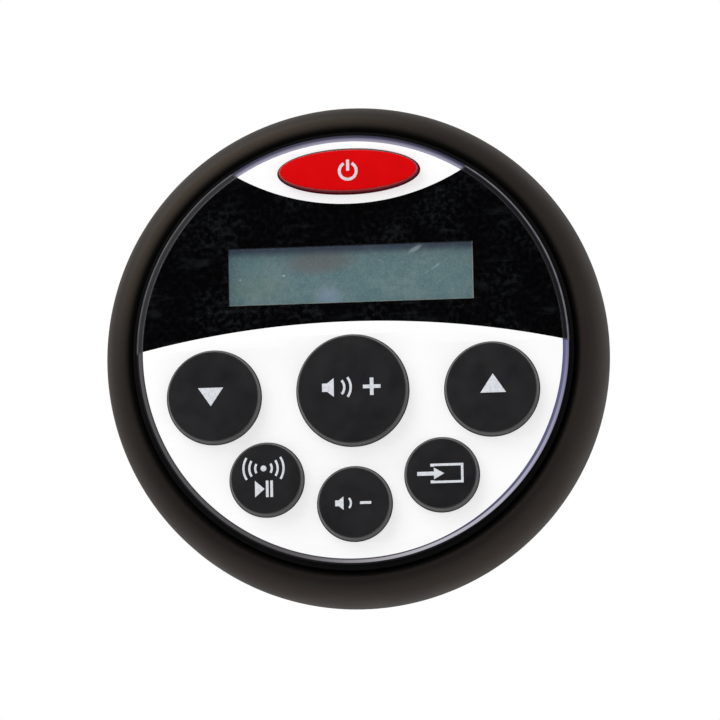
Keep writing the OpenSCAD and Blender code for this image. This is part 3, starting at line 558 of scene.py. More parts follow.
openings = [oval(*key_at[k], key_r[k] + GAP) for k in KEYS]
power_hole = oval(*power_at, power_a + GAP, power_b + GAP)
MASK_LOW = span("display_mask")[0][1]
WINDOW_W, WINDOW_H, WINDOW_Y, LAP = 50.24, 11.87, 15.52, 1.05
WINDOW = [(sx * WINDOW_W / 2, WINDOW_Y + sy * WINDOW_H / 2)
          for sx, sy in ((1, 1), (-1, 1), (-1, -1), (1, -1))]
pane_room = [(x + math.copysign(LAP, x), y + math.copysign(LAP, y - WINDOW_Y))
             for x, y in WINDOW]
disc = oval(0, 0, FACE_R, count=256)
carrier = plate("face_carrier", [disc, pane_room, power_hole] + openings,
                -face_high.y / MM, MASK_LOW, white_print, 0.03)
field = plate("white_field", [white_low] + openings, MASK_LOW, FACE, white_print, 0.04)
lens_field = plate("white_lens_field", [white_high, power_hole], MASK_LOW, FACE, white_print, 0.04)
for piece in (carrier, field, lens_field):
    settle(piece, "unit", "white_face")
    print(size(piece))
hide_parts("fascia_plate")

# %% [markdown]
# ## The dark display band
# The band is glossy black with a rectangular window. Gloss black shows everything that
# lies on it: the picture has a broken film of fine dust there, and level streaks where a
# cloth has gone over it. Both are made from noise that changes only colour and roughness,
# so the surface itself stays smooth. A broad noise says where the film is thicker, and a
# fine one breaks it up.

# %% Display band
band_outline = (
    rim(low_angle, high_angle, 40) + high_edge[1:-1]
    + rim(180 - high_angle, 180 - low_angle, 40) + low_edge[::-1][1:-1])

finish = Finish("gloss_black_band", IOR=1.49)
thick = finish.noise(9, 2.0, move=(1.3, 0, 0.7)).rise(0.4, 0.65)
fine = finish.noise(1.1, 5.0).rise(0.4, 0.8)
cloth = finish.noise(8, 1.0, move=(2, 5, 1)).rise(0.46, 0.6)
wiped = finish.noise(1.6, 3.0, stretch=(0.16, 1, 1), turn=(0, 0.06, 0)).rise(0.5, 0.75) * cloth
dust_and_painted_glow = finish.specks(0.85, 0.16) * thick
film = (fine * (thick * 0.3 + 0.1) + wiped * 0.25 + dust_and_painted_glow * 0.3).least(1)
gloss_black = finish.feed(
    Base_Color=finish.blend(film, tint(4, 4, 5), tint(44, 46, 50)),
    Roughness=film * 0.25 + 0.1)
band_plate = plate("display_band", [band_outline, WINDOW], MASK_LOW, FACE, gloss_black, 0.05)
settle(band_plate, "unit", "black_lens", "display_mask")
print(size(band_plate))

# %% [markdown]
# ## Trim ring
# The thin ring round the face is the polished edge of a clear lens. Its colours are a
# painted reflection of the print next to it: a pale line between two dark ones beside the
# large white field, a soft fall to dark beside the upper one, and two fine grey lines beside
# the dark band, of which the outer one has a painted highlight on the right. The pale line
# has a painted highlight at the lower right, lies further out on the right, and turns to
# lilac towards the upper right. Painting that by the angle of view would be wrong from other
# sides, so the finish asks where it is: how far out, on which side, and inside or outside
# the two circles that bound the white fields.

# %% The lens edge's colours
trim_low, trim_high = span("trim_ring")
inner, outer = FACE_R + 0.05, trim_high[0]
finish = Finish("lens_edge", IOR=1.49, Roughness=0.34, Specular_IOR_Level=0.06)
x, y = finish.across()
out = distance(x, y)
beside_low = distance(x, y - LOWER_Y).rise(LOWER_R + 0.3, LOWER_R - 0.5)
beside_high = distance(x, y - UPPER_Y).rise(UPPER_R + 0.3, UPPER_R - 0.5)

drawn = out - (x / FACE_R).rise(0.3, 0.95) * 0.33
first_line = drawn.rise(inner + 0.28, inner + 0.16)
last_line = drawn.rise(outer - 0.48, outer - 0.34)
# Painted highlight: the pale line is brightest at the lower right.
painted_highlight_side = ((x * 0.64 - y * 0.77) / FACE_R).rise(0.4, 1.15) ** 1.5
lilac_side = ((x * 0.94 + y * 0.34) / FACE_R).rise(-0.4, 0.9)
first_tint = finish.blend(lilac_side, tint(64, 63, 72), tint(94, 94, 132))
faded = finish.blend(out.rise(inner, outer - 0.3), tint(160, 158, 180), tint(56, 54, 74))
white_side = finish.layered(
    finish.blend(painted_highlight_side, tint(84, 81, 83), tint(202, 199, 204)),
    (lilac_side * 0.5, tint(128, 128, 176)), (first_line, first_tint),
    (last_line, tint(18, 18, 22)), (y.rise(20, 28), faded))

streak = finish.noise(2.2, 2.0).rise(0.3, 0.7) * 0.3 + 0.7
inner_rim = out.rise(inner + 0.26, inner + 0.12)
outer_rim = out.rise(outer - 0.42, outer - 0.2)
# Painted highlight on the outer grey line towards the right; the base and the inner line darken
# that way.
right_side = (x / FACE_R).rise(-0.6, 0.7)
near_line = finish.blend(right_side, tint(84, 84, 86), tint(50, 50, 53))
far_line = finish.blend(right_side, tint(92, 91, 94), tint(131, 128, 137))
dark_side = finish.layered(
    finish.blend(right_side, tint(50, 50, 52), tint(26, 26, 29)),
    (inner_rim * streak, near_line), (outer_rim * streak, far_line))
lens_edge = finish.feed(
    Base_Color=finish.blend(beside_low.most(beside_high), dark_side, white_side))
print("lens edge nodes:", len(finish.tree.nodes))

# %% Trim ring
foot, top = trim_low[1], trim_high[1]
trim = turned("lens_edge_ring", [
    (inner, foot), (outer, foot), (outer, top - 0.35), (outer - 0.06, top - 0.24),
    (outer - 0.26, top - 0.04), (outer - 0.36, top), (inner + 0.24, top),
    (inner + 0.16, top - 0.03), (inner + 0.02, top - 0.14), (inner, top - 0.2)],
    lens_edge, 256)
settle(trim, "unit", "trim_plastic", "trim_ring")
print(size(trim))

# %% [markdown]
# ## Window and display
# Behind the window lie a clear pane and the display's glass, unlit. An unlit display is
# a dull blue-green with soft blotches where the reflector behind it varies, and this one
# has a fine scratch and a few specks. Its glass also has a painted shadow along the top edge
# and a painted highlight along the lower and right edges. Spots and scratch are placed in
# millimetres on the face with a small helper. The pane is mostly see-through: a low alpha
# keeps its reflections without the noise that real refraction would bring to a render.

# %% Pane
def slab(name, node, finish, edge, slot):
    """A plate with rounded edges in the place of a box-shaped CAD node."""
    low, high = span(node)
    outline = [(high[0], high[2]), (low[0], high[2]), (low[0], low[2]), (high[0], low[2])]
    piece = plate(name, [outline], low[1], high[1], finish, edge)
    print(size(settle(piece, "unit", slot, node)))


finish = Finish("clear_pane", IOR=1.49, Alpha=0.08)
wipe = finish.noise(9, 3.0, turn=(0, 0.6, 0))
clear_pane = finish.feed(
    Base_Color=finish.blend(wipe.rise(0.4, 0.7), tint(36, 42, 44), tint(60, 66, 68)),
    Roughness=wipe * 0.12 + 0.03)
slab("display_window", "display_pane", clear_pane, 0.08, "clear_pane")

# %% Display glass
def spot(x, y, wide, tall, lean=0.0):
    """1 in the middle of a soft oval on the face, 0 outside it."""
    fx, fy = finish.across()
    c, s = math.cos(math.radians(lean)), math.sin(math.radians(lean))
    along = (fx - x) * c + (fy - y) * s
    beside = (fy - y) * c - (fx - x) * s
    return ((along / wide) ** 2 + (beside / tall) ** 2).rise(1.0, 0.0)


finish = Finish("display_glass", IOR=1.5, Specular_IOR_Level=0.3)
x, y = finish.across()
blotch = finish.noise(9, 3.0, move=(0.4, 0, 0.8))
mottle = finish.noise(1.3, 3.0, move=(2.4, 0, 1.8))
frost = finish.noise(0.35, 2.0).rise(0.45, 0.7)
scratch = spot(17.4, 16.9, 4.2, 0.12, 33) * finish.noise(1.2, 2.0).rise(0.35, 0.6)
specks = spot(-14.0, 15.9, 0.45, 0.3, 20).most(spot(-23.0, 15.3, 0.3, 0.25))
smear = spot(13.2, 20.6, 1.9, 0.6, 28) * 0.8
# Painted shadow along the top edge, and a painted highlight along the lower and right edges.
painted_top_shadow = y.rise(19.4, 21.3) * (mottle * 0.3 + 0.75)
painted_edge_glint = y.rise(10.12, 9.98).most(x.rise(24.7, 24.84)) * mottle.rise(0.3, 0.6)
display_glass = finish.feed(
    Base_Color=finish.layered(
        finish.blend(blotch.rise(0.35, 0.65), tint(98, 130, 133), tint(118, 142, 144)),
        (mottle.rise(0.35, 0.65) * 0.5, tint(88, 118, 127)),
        (frost * 0.35, tint(140, 162, 166)),
        (spot(-6.5, 18.6, 9, 3.4, 3) * 0.55, tint(118, 108, 108)),
        (spot(-20, 13.5, 9, 3.0) * 0.3, tint(112, 132, 118)),
        (spot(-4.6, 11.2, 2.6, 3.4, 80) * 0.5, tint(140, 160, 186)),
        (painted_top_shadow.least(1), tint(66, 74, 92)),
        (painted_edge_glint * 0.6, tint(186, 178, 160)),
        (scratch.most(specks).most(smear) * 0.75, tint(176, 192, 194))),
    Roughness=blotch * 0.2 + 0.3)
slab("display_glass", "lcd_glass", display_glass, 0.1, "display_glass")

# %% [markdown]
# ## The round keys
# Six round keys stand proud of the face. Each is a turned cap with a foot that presses
# the switch, a flange that keeps it in, a side that leans in a little above the face, as
# a moulding must to leave its tool, and a small edge radius. They come out of the same
# sweep as the ring, at the CAD keys' places, and each rides on its own body, so it
# moves when the joint is pressed.
# The caps are black rubber. Their sides have painted light at the foot, a grey glow that
# stands in for light from the white face, and painted shade at the edge of the top. All six
# stand equally high, so the height of a point is enough to place the painted glow.

# %% Round keys
finish = Finish("key_black", IOR=1.49)
cloud = finish.noise(5, 3.0)
fine = finish.noise(0.16, 2.0, move=GRAIN_MOVE)
height = finish.height()
# Painted light: a grey glow on the side towards the foot.
dust_and_painted_glow = height.rise(KEY_TOP - 0.9, FACE - 0.2)
# Painted shade: a dark line at the edge of the top.
below_top = height.rise(KEY_TOP - 0.004, KEY_TOP - 0.02)
painted_edge_shade = height.rise(KEY_TOP - 0.9, KEY_TOP - 0.25) * below_top
key_skin = finish.feed(
    Base_Color=finish.layered(
        finish.blend(mottled(cloud, fine), tint(23, 22, 24), tint(28, 27, 29)),
        (dust_and_painted_glow, tint(84, 80, 79)), (painted_edge_shade, tint(9, 9, 10))),
    Roughness=(cloud - 0.5) * 0.25 + painted_edge_shade * 0.3 + 0.45,
    Normal=finish.bump(fine, 0.006))

FOOT_H, FOOT_R, FLANGE_H, DRAFT, FLARE, ROUND = 0.6, 2.5, 1.0, 0.4, 0.1, 0.18
round_keys = {}
for key in KEYS:
    low, high = span(key + "_key")
    r, top, foot = key_r[key], high[1], low[1]
    base = foot + FOOT_H
    outline = (
        [(0, foot), (FOOT_R, foot), (FOOT_R, base), (r + FLANGE, base),
         (r + FLANGE, base + FLANGE_H), (r, base + FLANGE_H), (r + FLARE, FACE - 0.6),
         (r + FLARE, FACE)]
        + arc(r - DRAFT - ROUND, top - ROUND, ROUND, ROUND, 8, 90, 6)
        + [(r * 0.5, top), (0, top)])
    cap = turned(key + "_cap", outline, key_skin, 144, key_at[key], closed=False)
    round_keys[key] = settle(cap, key, "black_key", key + "_key")
print(size(round_keys["volume_up"]))

# %% [markdown]
# ## The red oval key
# The power key is an oval of bright red plastic with a rounded edge and a very slight
# crown. A sweep can't make an oval, so this one is stacked from rings of points, each
# a little smaller towards the top. The finish has a clear gloss, with the fine ripple
# of moulded plastic, and the side is darker.

# %% Power key
def stacked(name, loops, finish):
    """Closed loops of the same number of points, joined in order and capped."""
    count, last = len(loops[0]), (len(loops) - 1) * len(loops[0])
    faces = [tuple(range(count))[::-1], tuple(range(last, last + count))]
    for low in range(0, last, count):
        for i in range(count):
            j = (i + 1) % count
            faces.append((low + i, low + j, low + count + j, low + count + i))
    mesh = bpy.data.meshes.new(name)
    mesh.from_pydata([(x * MM, -h * MM, y * MM) for loop in loops for x, y, h in loop], [], faces)
    dress(mesh, finish)
    return tidy(name, mesh)


def level(points, height):
    """A flat outline as a loop at a height."""
    return [(x, y, height) for x, y in points]


def oval_loop(inset, height):
    return level(oval(*power_at, power_a - inset, power_b - inset, 160), height)


finish = Finish("red_gloss", IOR=1.49, Specular_IOR_Level=0.12)
ripple = finish.noise(2.5, 2.0)
bloom = finish.noise(6, 2.0, move=(1, 2, 3))
down_side = finish.height().rise(POWER_TOP - 0.45, POWER_TOP - 1.0)
red_gloss = finish.feed(
    Base_Color=finish.layered(
        finish.blend(bloom.rise(0.3, 0.7), tint(206, 0, 3), tint(213, 1, 5)),
        (down_side, tint(98, 3, 22))),
    Roughness=ripple * 0.1 + 0.4,
    Normal=finish.bump(ripple, 0.008))

CROWN, CROWN_REACH, POWER_ROUND = 0.08, 4.2, 0.3
foot = span("power_key")[0][1]
base = foot + FOOT_H
foot_outline = oval(*power_at, FOOT_R, count=160)
loops = [level(foot_outline, foot), level(foot_outline, base),
         oval_loop(-POWER_FLANGE, base), oval_loop(-POWER_FLANGE, base + FLANGE_H),
         oval_loop(0, base + FLANGE_H), oval_loop(0, FACE)]
edge = arc(0, POWER_TOP - POWER_ROUND - CROWN, POWER_ROUND, POWER_ROUND, 8, 90, 7)
loops += [oval_loop(DRAFT + POWER_ROUND - x, h) for x, h in edge]
for inset in (1.3, 2.0, 3.0, 4.0):
    swell = math.sin(inset / CROWN_REACH * math.pi / 2)
    loops.append(oval_loop(inset, POWER_TOP - CROWN + CROWN * swell))
power_cap = stacked("power_cap", loops, red_gloss)
settle(power_cap, "power", "red_key", "power_key")
print(size(power_cap))

# %% [markdown]
# ## Signs on the keys
# The keys carry plain signs in pale print: arrows for seeking, a standby sign, a
# loudspeaker with plus and minus, radio waves over play and pause, and an arrow into a
# frame for the source. Each sign is a flat plate four hundredths of a millimetre thick,
# which is about what screen print stands up, and rides on its key.

# %% Strokes for the signs
def softened(points, radius, count=3):
    """An outline whose corners are rounded by at most radius."""
    out = []
    for i, corner in enumerate(points):
        here = Vector(corner)
        before = Vector(points[i - 1]) - here
        after = Vector(points[(i + 1) % len(points)]) - here
        turn = before.angle(after)
        cut = min(radius / math.tan(turn / 2), before.length * 0.45, after.length * 0.45)
        ends = here + before.normalized() * cut, here + after.normalized() * cut
        for k in range(count + 1):
            t = k / count
            point = ends[0] * (1 - t) ** 2 + here * 2 * t * (1 - t) + ends[1] * t ** 2
            out.append(tuple(point))
    return out


def moved(points, x, y, scale=1.0):
    return [(x + scale * px, y + scale * py) for px, py in points]


def bar(x, y, wide, tall):
    a, b = wide / 2, tall / 2
    return softened([(x - a, y - b), (x + a, y - b), (x + a, y + b), (x - a, y + b)], 0.08, 2)


def wave(x, y, radius, thick, start, end):
    """A bent stroke: an arc with a width."""
    far, near = radius + thick / 2, radius - thick / 2
    return arc(x, y, far, far, start, end, 20) + arc(x, y, near, near, end, start, 20)


def speaker(x, scale):
    return moved([(-1, -0.55), (-0.35, -0.55), (0.55, -1.25),
                  (0.55, 1.25), (-0.35, 0.55), (-1, 0.55)], x, 0, scale)


def plus(x, y, reach, thick):
    t = thick / 2
    quarter = [(-reach, -t), (-t, -t), (-t, -reach)]
    arms = quarter + [(-a, b) for a, b in quarter[::-1]]
    return moved(arms + [(-a, -b) for a, b in arms], x, y)

print("plus sign corners:", len(plus(0, 0, 1, 0.4)))

# %% Signs
finish = Finish("pale_print", Roughness=0.5)
wear = finish.noise(0.5, 3.0)
pale_print = finish.feed(
    Base_Color=finish.blend(wear.rise(0.35, 0.6), tint(198, 201, 208), tint(216, 219, 224)),
    Normal=finish.bump(wear, 0.01))
SUNK, PRINT = 0.01, 0.04


def sign(key, outlines, top, x, y):
    shapes = [moved(points, x, y) for points in outlines]
    piece = plate(key + "_sign", shapes, top - SUNK, top + PRINT, pale_print, 0.012)
    return settle(piece, key, "white_plastic")


radio = [wave(0, 2.2, r, 0.45, a - 33, a + 33) for r in (1.7, 2.9, 4.1) for a in (0, 180)]
play = [(-1.8, -3.7), (0.15, -2.0), (-1.8, -0.3)]
pause = [bar(x, -2.0, 0.55, 3.4) for x in (0.7, 1.6)]
arrow = [(-4.8, -0.4), (-1.4, -0.4), (-1.4, -1.2), (0.7, 0), (-1.4, 1.2), (-1.4, 0.4), (-4.8, 0.4)]
open_frame = [(-2.1, -2.0), (4.6, -2.0), (4.6, 2.0), (-2.1, 2.0), (-2.1, 1.4), (-1.4, 1.4),
              (-1.4, 1.5), (4.1, 1.5), (4.1, -1.5), (-1.4, -1.5), (-1.4, -1.4), (-2.1, -1.4)]
louder = [speaker(-4.4, 1.55), wave(-3.5, 0, 2.1, 0.5, -42, 42),
          wave(-3.5, 0, 3.4, 0.5, -36, 36), plus(4.2, 0, 1.8, 0.75)]
softer = [speaker(-2.4, 1.1), wave(-1.8, 0, 1.5, 0.42, -42, 42), bar(2.7, 0, 2.3, 0.55)]
standby = [wave(0, -0.25, 1.75, 0.6, 118, 422), bar(0, 0.95, 0.62, 2.3)]
signs = [
    sign("seek_up", [[(-2.62, -1.95), (2.62, -1.95), (0, 1.95)]], KEY_TOP, 28.8, -8.35),
    sign("seek_down", [[(-2.58, 1.9), (0, -1.9), (2.58, 1.9)]], KEY_TOP, -28.9, -9.4),
    sign("volume_up", louder, KEY_TOP, -0.1, -8.25),
    sign("volume_down", softer, KEY_TOP, -0.3, -32.0),
    sign("band", [oval(0, 2.2, 0.6, count=32)] + radio + [play] + pause, KEY_TOP, -18.3, -26.6),
    sign("mode", [arrow, open_frame], KEY_TOP, 17.8, -26.5),
    sign("power", standby, POWER_TOP, *power_at),
]
print("signs:", [s.name for s in signs])

# %% [markdown]
# ## Metal finishes
# Behind the panel are metal pieces. Cast and rolled metal differs from plastic in two
# ways: its colour is in the reflection, and its grain has a direction. The recipe
# stretches noise along one axis, so the same tree gives drawn aluminium, plated sheet
# and turned brass.

# %% A metal recipe
def metal(name, colour, rough, grain=(1, 1, 1)):
    finish = Finish(name, Metallic=1.0)
    lines = finish.noise(0.6, 3.0, stretch=grain)
    stain = finish.noise(8, 3.0, move=(5, 2, 1))
    paler = (lines * 0.5 + stain * 0.5).rise(0.3, 0.7)
    return finish.feed(
        Base_Color=finish.blend(paler, shaded(colour, 0.88), colour),
        Roughness=(lines - 0.5) * 0.25 + (stain - 0.5) * 0.3 + rough,
        Normal=finish.bump(lines, 0.006))


drawn_aluminium = metal("drawn_aluminium", tint(196, 198, 202), 0.42, (1, 1, 0.05))
plated_sheet = metal("plated_sheet", tint(186, 190, 196), 0.36, (0.06, 1, 1))
steel = metal("bright_steel", tint(190, 190, 188), 0.3)
brass = metal("turned_brass", tint(196, 158, 86), 0.34, (1, 0.2, 1))
print("metals:", [m.name for m in (drawn_aluminium, plated_sheet, steel, brass)])

# %% [markdown]
# ## Pieces that keep the CAD shape
# The finned cover, the body and the bracket already have the right shape in CAD, holes
# and all. What CAD leaves is edges of zero width, and no real edge is that sharp. A copy
# of the mesh is merged, its flat triangles are joined into whole faces, and every true
# edge gets a bevel of a tenth or two of a millimetre, which catches a line of light.

# %% Finned cover, body and bracket
FLAT, TRUE_EDGE = math.radians(0.6), math.radians(40)


def eased(name, node, finish, width):
    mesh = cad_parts[node].data.copy()
    bm = bmesh.new()
    bm.from_mesh(mesh)
    bmesh.ops.remove_doubles(bm, verts=bm.verts, dist=1e-6)
    bmesh.ops.dissolve_limit(bm, angle_limit=FLAT, verts=bm.verts, edges=bm.edges)
    true_edges = [e for e in bm.edges
                  if len(e.link_faces) == 2 and e.calc_face_angle(0) > TRUE_EDGE]
    bmesh.ops.bevel(bm, geom=true_edges, offset=width * MM, segments=2, affect="EDGES",
                    profile=0.5, clamp_overlap=True)
    bm.to_mesh(mesh)
    bm.free()
    dress(mesh, finish)
    return tidy(name, mesh, 28)


for name, node, finish, width, body, slot in (
        ("finned_cover", "heat_sink", drawn_aluminium, 0.12, "unit", "sink_aluminium"),
        ("sealed_body", "rear_body", body_skin, 0.2, "unit", "body_plastic"),
        ("clamp_bracket", "mounting_bracket", plated_sheet, 0.15, "clamp", "bracket_steel")):
    print(size(settle(eased(name, node, finish, width), body, slot, node)))

# %% [markdown]
# ## Gasket, glands and washers
# These are turned pieces again: a foam ring that seals on the panel, two rubber glands
# where leads can pass through the cover, and flat washers. Rubber has no sharp corner,
# so the outlines are softened before the sweep.

# %% Soft rings
def flat_ring(inner, outer, low, high, radius, count=3):
    """The softened section of a flat ring."""
    corners = [(inner, low), (outer, low), (outer, high), (inner, high)]
    return softened(corners, radius, count)


GASKET_HOLE = 40.2
low, high = span("panel_gasket")
outline = flat_ring(GASKET_HOLE, high[0], low[1], high[1], 0.3)
gasket = turned("panel_seal", outline, gasket_skin, 192)
print(size(settle(gasket, "unit", "gasket_rubber", "panel_gasket")))

for node, bore, lip in (("harness_gland", 4.0, 2), ("antenna_gland", 2.3, 1.7)):
    low, high = span(node)
    middle, r, _ = plan(node)
    neck, base = r - lip, low[1]
    outline = softened([
        (bore, base), (bore + 0.7, base), (bore + 0.9, base + 0.35), (bore + 1.2, base),
        (r - 1, base), (r, base + 1), (r, base + 2), (neck, base + 2), (neck, base + 5),
        (neck + 0.8, base + 5), (neck + 0.4, high[1]), (bore, high[1])], 0.3)
    gland = turned(node + "_ring", outline, gland_skin, 96, middle)
    print(size(settle(gland, "unit", "gland_rubber", node)))

# %% Flat washers
studs_low, studs_high = span("mounting_studs")
STUD_R = plan("mounting_studs")[2]
STUD_X = studs_high[0] - STUD_R
WASHER_GAP, WASHER_REACH, SPRING_REACH = 0.15, 3, 1.8
low, high = span("flat_washers")
outline = flat_ring(STUD_R + WASHER_GAP, STUD_R + WASHER_REACH, low[1], high[1], 0.12)
for hand, at in (("left", -STUD_X), ("right", STUD_X)):
    washer = turned("flat_washer_" + hand, outline, steel, 72, (at, 0))
    settle(washer, "clamp", "bracket_steel")
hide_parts("flat_washers")
print(size(washer))

# %% [markdown]
# ## Copies at given places
# Screws, nuts and studs come in sets. One is modelled at the middle, and a second tree
# puts a copy at each vertex of the piece's own mesh. Realize Instances turns the copies
# into one plain mesh, because the export would drop bare instances.

# %% Geometry Nodes: copies at places
copies = Recipe("copies at places", {"Shape": "Object"})
points = copies.node("GeometryNodeMeshToPoints", None, {0: copies.given["Geometry"]})
shape = copies.node("GeometryNodeObjectInfo", None, {
    "Object": copies.given["Shape"]}, out="Geometry")
placed = copies.node("GeometryNodeInstanceOnPoints", None, {"Points": points, "Instance": shape})
copies_tree = copies.close(placed)


def set_of(name, model, places, finish):
    """Copies of model at (x, y) places on the face, in millimetres; the model goes."""
    start = bpy.data.meshes.new(name)
    start.from_pydata([(x * MM, 0, y * MM) for x, y in places], [], [])
    piece = grow(name, copies_tree, start, finish, {"Shape": model})
    bpy.data.objects.remove(model)
    return piece

# %% [markdown]
# ## Cover screws
# Four pan-head screws hold the cover. The head is turned, and its cross recess is cut
# by a boolean with a tapering cross, since a recess painted on would show from the
# side. Only the head is seen, but the shank is there too, as in CAD.

# %% Cover screws
low, high = span("cover_screws")
HEAD_R, DOME, SHANK_R, COVER_THICK = 2.8, 0.85, 1.5, 3.0
seat = span("heat_sink")[1][1] - COVER_THICK
tip, end = low[1], high[1]
outline = (
    [(0, end), (SHANK_R - 0.15, end - 0.1), (SHANK_R, end - 0.6), (SHANK_R, seat),
     (HEAD_R - 0.1, seat), (HEAD_R, seat - 0.15)]
    + arc(0, tip + DOME, HEAD_R, DOME, 0, -90, 12)[:-1] + [(0, tip)])
screw = turned("cover_screw_model", outline[::-1], steel, 64, closed=False)

cutter = stacked("cross_cutter", [
    level(plus(0, 0, 0.7, 0.44), tip + 1.5), level(plus(0, 0, 1.75, 0.84), tip - 0.3)], steel)
cut = screw.modifiers.new("recess", "BOOLEAN")
cut.object, cut.operation, cut.solver = cutter, "DIFFERENCE", "EXACT"
screw_model = tidy("cover_screw", evaluated(screw))
bpy.data.objects.remove(cutter)
COVER_AT = [(sx * (high[0] - HEAD_R), sy * (high[2] - HEAD_R)) for sx in (-1, 1) for sy in (-1, 1)]
screws = set_of("cover_screw_set", screw_model, COVER_AT, steel)
settle(screws, "unit", "screw_steel", "cover_screws")
print(size(screws))

# %% [markdown]
# ## Threaded studs
# Two studs stand out of the cover. In CAD they are plain rods, as thick as the thread.
# Here the thread is a real helix: a Spiral curve with a pitch of 0.7 mm carries a
# small wedge round a core. Set Curve Normal keeps the wedge pointing outwards;
# without it the section would slowly twist along the helix.

# %% Geometry Nodes: a screw thread
thread = Recipe("screw thread", {
    "Core radius": "Float", "Pitch": "Float", "Length": "Float", "Steps per turn": "Int"})
given = thread.given
turns = given["Length"] / given["Pitch"] - 1
helix = thread.node("GeometryNodeCurveSpiral", None, {
    "Resolution": given["Steps per turn"], "Rotations": turns,
    "Start Radius": given["Core radius"], "End Radius": given["Core radius"],
    "Height": given["Length"] - given["Pitch"]})
steady = thread.node("GeometryNodeSetCurveNormal", {"mode": "Z_UP"}, {0: helix})
ridge = thread.node("GeometryNodeMeshToCurve", None, {0: given["Geometry"]})
wound = thread.node("GeometryNodeCurveToMesh", None, {
    "Curve": steady, "Profile Curve": ridge, "Fill Caps": True})
rod = thread.node("GeometryNodeMeshCylinder", {"fill_type": "NGON"}, {
    "Vertices": 48, "Radius": given["Core radius"], "Depth": given["Length"]})
rise = thread.node("ShaderNodeCombineXYZ", None, {
    2: given["Pitch"] * 0.5 - given["Length"] * 0.5})
lifted = thread.node("GeometryNodeTransform", None, {"Geometry": wound, "Translation": rise})
both = thread.node("GeometryNodeJoinGeometry", None, {0: rod})
thread.tree.links.new(lifted.socket, both.socket.node.inputs[0])
thread_tree = thread.close(both)

# %% Threaded studs
PITCH, THREAD_DEEP, ROOT = 0.7, 0.36, 0.05
BOTH_STUDS = [(-STUD_X, 0), (STUD_X, 0)]
start = bpy.data.meshes.new("thread_section")
corners = [(ROOT, -0.3), (-THREAD_DEEP, -0.05), (-THREAD_DEEP, 0.05), (ROOT, 0.3)]
start.from_pydata([(a, b, 0) for a, b in corners], [(i, (i + 1) % 4) for i in range(4)], [])
stud = grow("stud_model", thread_tree, start, steel, {
    "Core radius": STUD_R - THREAD_DEEP, "Pitch": PITCH,
    "Length": studs_high[1] - studs_low[1], "Steps per turn": 20})
stud.data.transform(Matrix.Diagonal((MM, MM, MM, 1)))
stud.data.transform(Matrix.Rotation(-math.pi / 2, 4, "X"))
stud.data.transform(Matrix.Translation((0, -(studs_low[1] + studs_high[1]) / 2 * MM, 0)))
studs = set_of("threaded_studs", stud, BOTH_STUDS, steel)
settle(studs, "unit", "stud_steel", "mounting_studs")
print(size(studs))

# %% [markdown]
# ## Spring washers and knurled nuts
# A spring washer is a split ring whose two ends stand apart, so it is stacked as a
# flat section carried most of the way round, rising a little as it goes. The nuts
# are turned by hand: their knurl is a row of teeth, drawn as a star and drawn in at
# both ends as a lathe would chamfer it.

# %% Spring washers
LIFT, STEPS, SPLIT = 0.24, 72, 8
low, high = span("spring_washers")
thick = high[1] - low[1] - LIFT
section = flat_ring(STUD_R + WASHER_GAP, STUD_R + SPRING_REACH, 0, thick, 0.1, 2)
loops = []
for i in range(STEPS + 1):
    share = i / STEPS
    angle = math.radians(SPLIT + (360 - 2 * SPLIT) * share)
    base = low[1] + LIFT * share
    loops.append([(r * math.cos(angle), r * math.sin(angle), base + h) for r, h in section])
coil = stacked("spring_washer_model", loops, steel)
coils = set_of("spring_washer_pair", coil, BOTH_STUDS, steel)
settle(coils, "clamp", "bracket_steel", "spring_washers")
print(size(coils))

# %% Knurled nuts
TOOTH = (0.0, 0.0, 0.25, 0.5, 0.5, 0.25)
AROUND = 24 * len(TOOTH)
NUT_GAP, BORE_EASE, BORE_EASE_H, SHOULDER = 0.05, 0.5, 0.45, 1.4
CHAMFER, CHAMFER_H, TEETH_H = 0.7, 0.15, 0.75
low, high = span("clamp_nuts")
bottom, top = low[1], high[1]
nut_r = plan("clamp_nuts")[2]


def knurl(inset, height):
    loop = []
    for i in range(AROUND):
        t = 2 * math.pi * i / AROUND
        r = nut_r - inset - max(0.0, TOOTH[i % len(TOOTH)] - inset * 0.6)
        loop.append((r * math.cos(t), r * math.sin(t), height))
    return loop


def hole(radius, height):
    return level(oval(0, 0, radius, count=AROUND), height)


loops = [
    hole(STUD_R + NUT_GAP, top), hole(STUD_R + BORE_EASE, top), hole(nut_r - SHOULDER, top),
    knurl(CHAMFER, top - CHAMFER_H), knurl(0.0, top - TEETH_H),
    knurl(0.0, bottom + TEETH_H), knurl(CHAMFER, bottom + CHAMFER_H),
    hole(nut_r - SHOULDER, bottom), hole(STUD_R + BORE_EASE, bottom),
    hole(STUD_R + NUT_GAP, bottom + BORE_EASE_H), hole(STUD_R + NUT_GAP, top - 0.01)]
nut = stacked("nut_model", loops, brass)
nuts = set_of("knurled_nuts", nut, BOTH_STUDS, brass)
settle(nuts, "clamp", "nut_brass", "clamp_nuts")
print(size(nuts))

# %% [markdown]
# ## What is inside
# The frame behind the ring, and the boards, lamps, switches and screws inside the body,
# keep their CAD shapes: hardly any of them shows until the unit is opened. They still
# get real finishes, because the model can be taken apart. Most are moulded skins or
# metals, and a few have a pattern of their own: copper turns on the choke, tracks on the
# boards, and the stripes of the contact strips.

# %% Patterned finishes inside
finish = Finish("board_green", IOR=1.5)
tracks = finish.node("ShaderNodeTexBrick", {"offset": 0.5}, {
    "Vector": finish.mapped(1, turn=(math.pi / 2, 0, 0)), "Scale": 0.35, "Mortar Size": 0.06,
    "Brick Width": 1.6, "Row Height": 0.5}, out="Fac")
weave = finish.noise(0.5, 2.0)
board_green = finish.feed(
    Base_Color=finish.layered(
        finish.blend(weave, tint(18, 66, 40), tint(24, 78, 48)), (tracks, tint(46, 112, 66))),
    Roughness=weave * 0.15 + 0.3, Normal=finish.bump(tracks, 0.03))

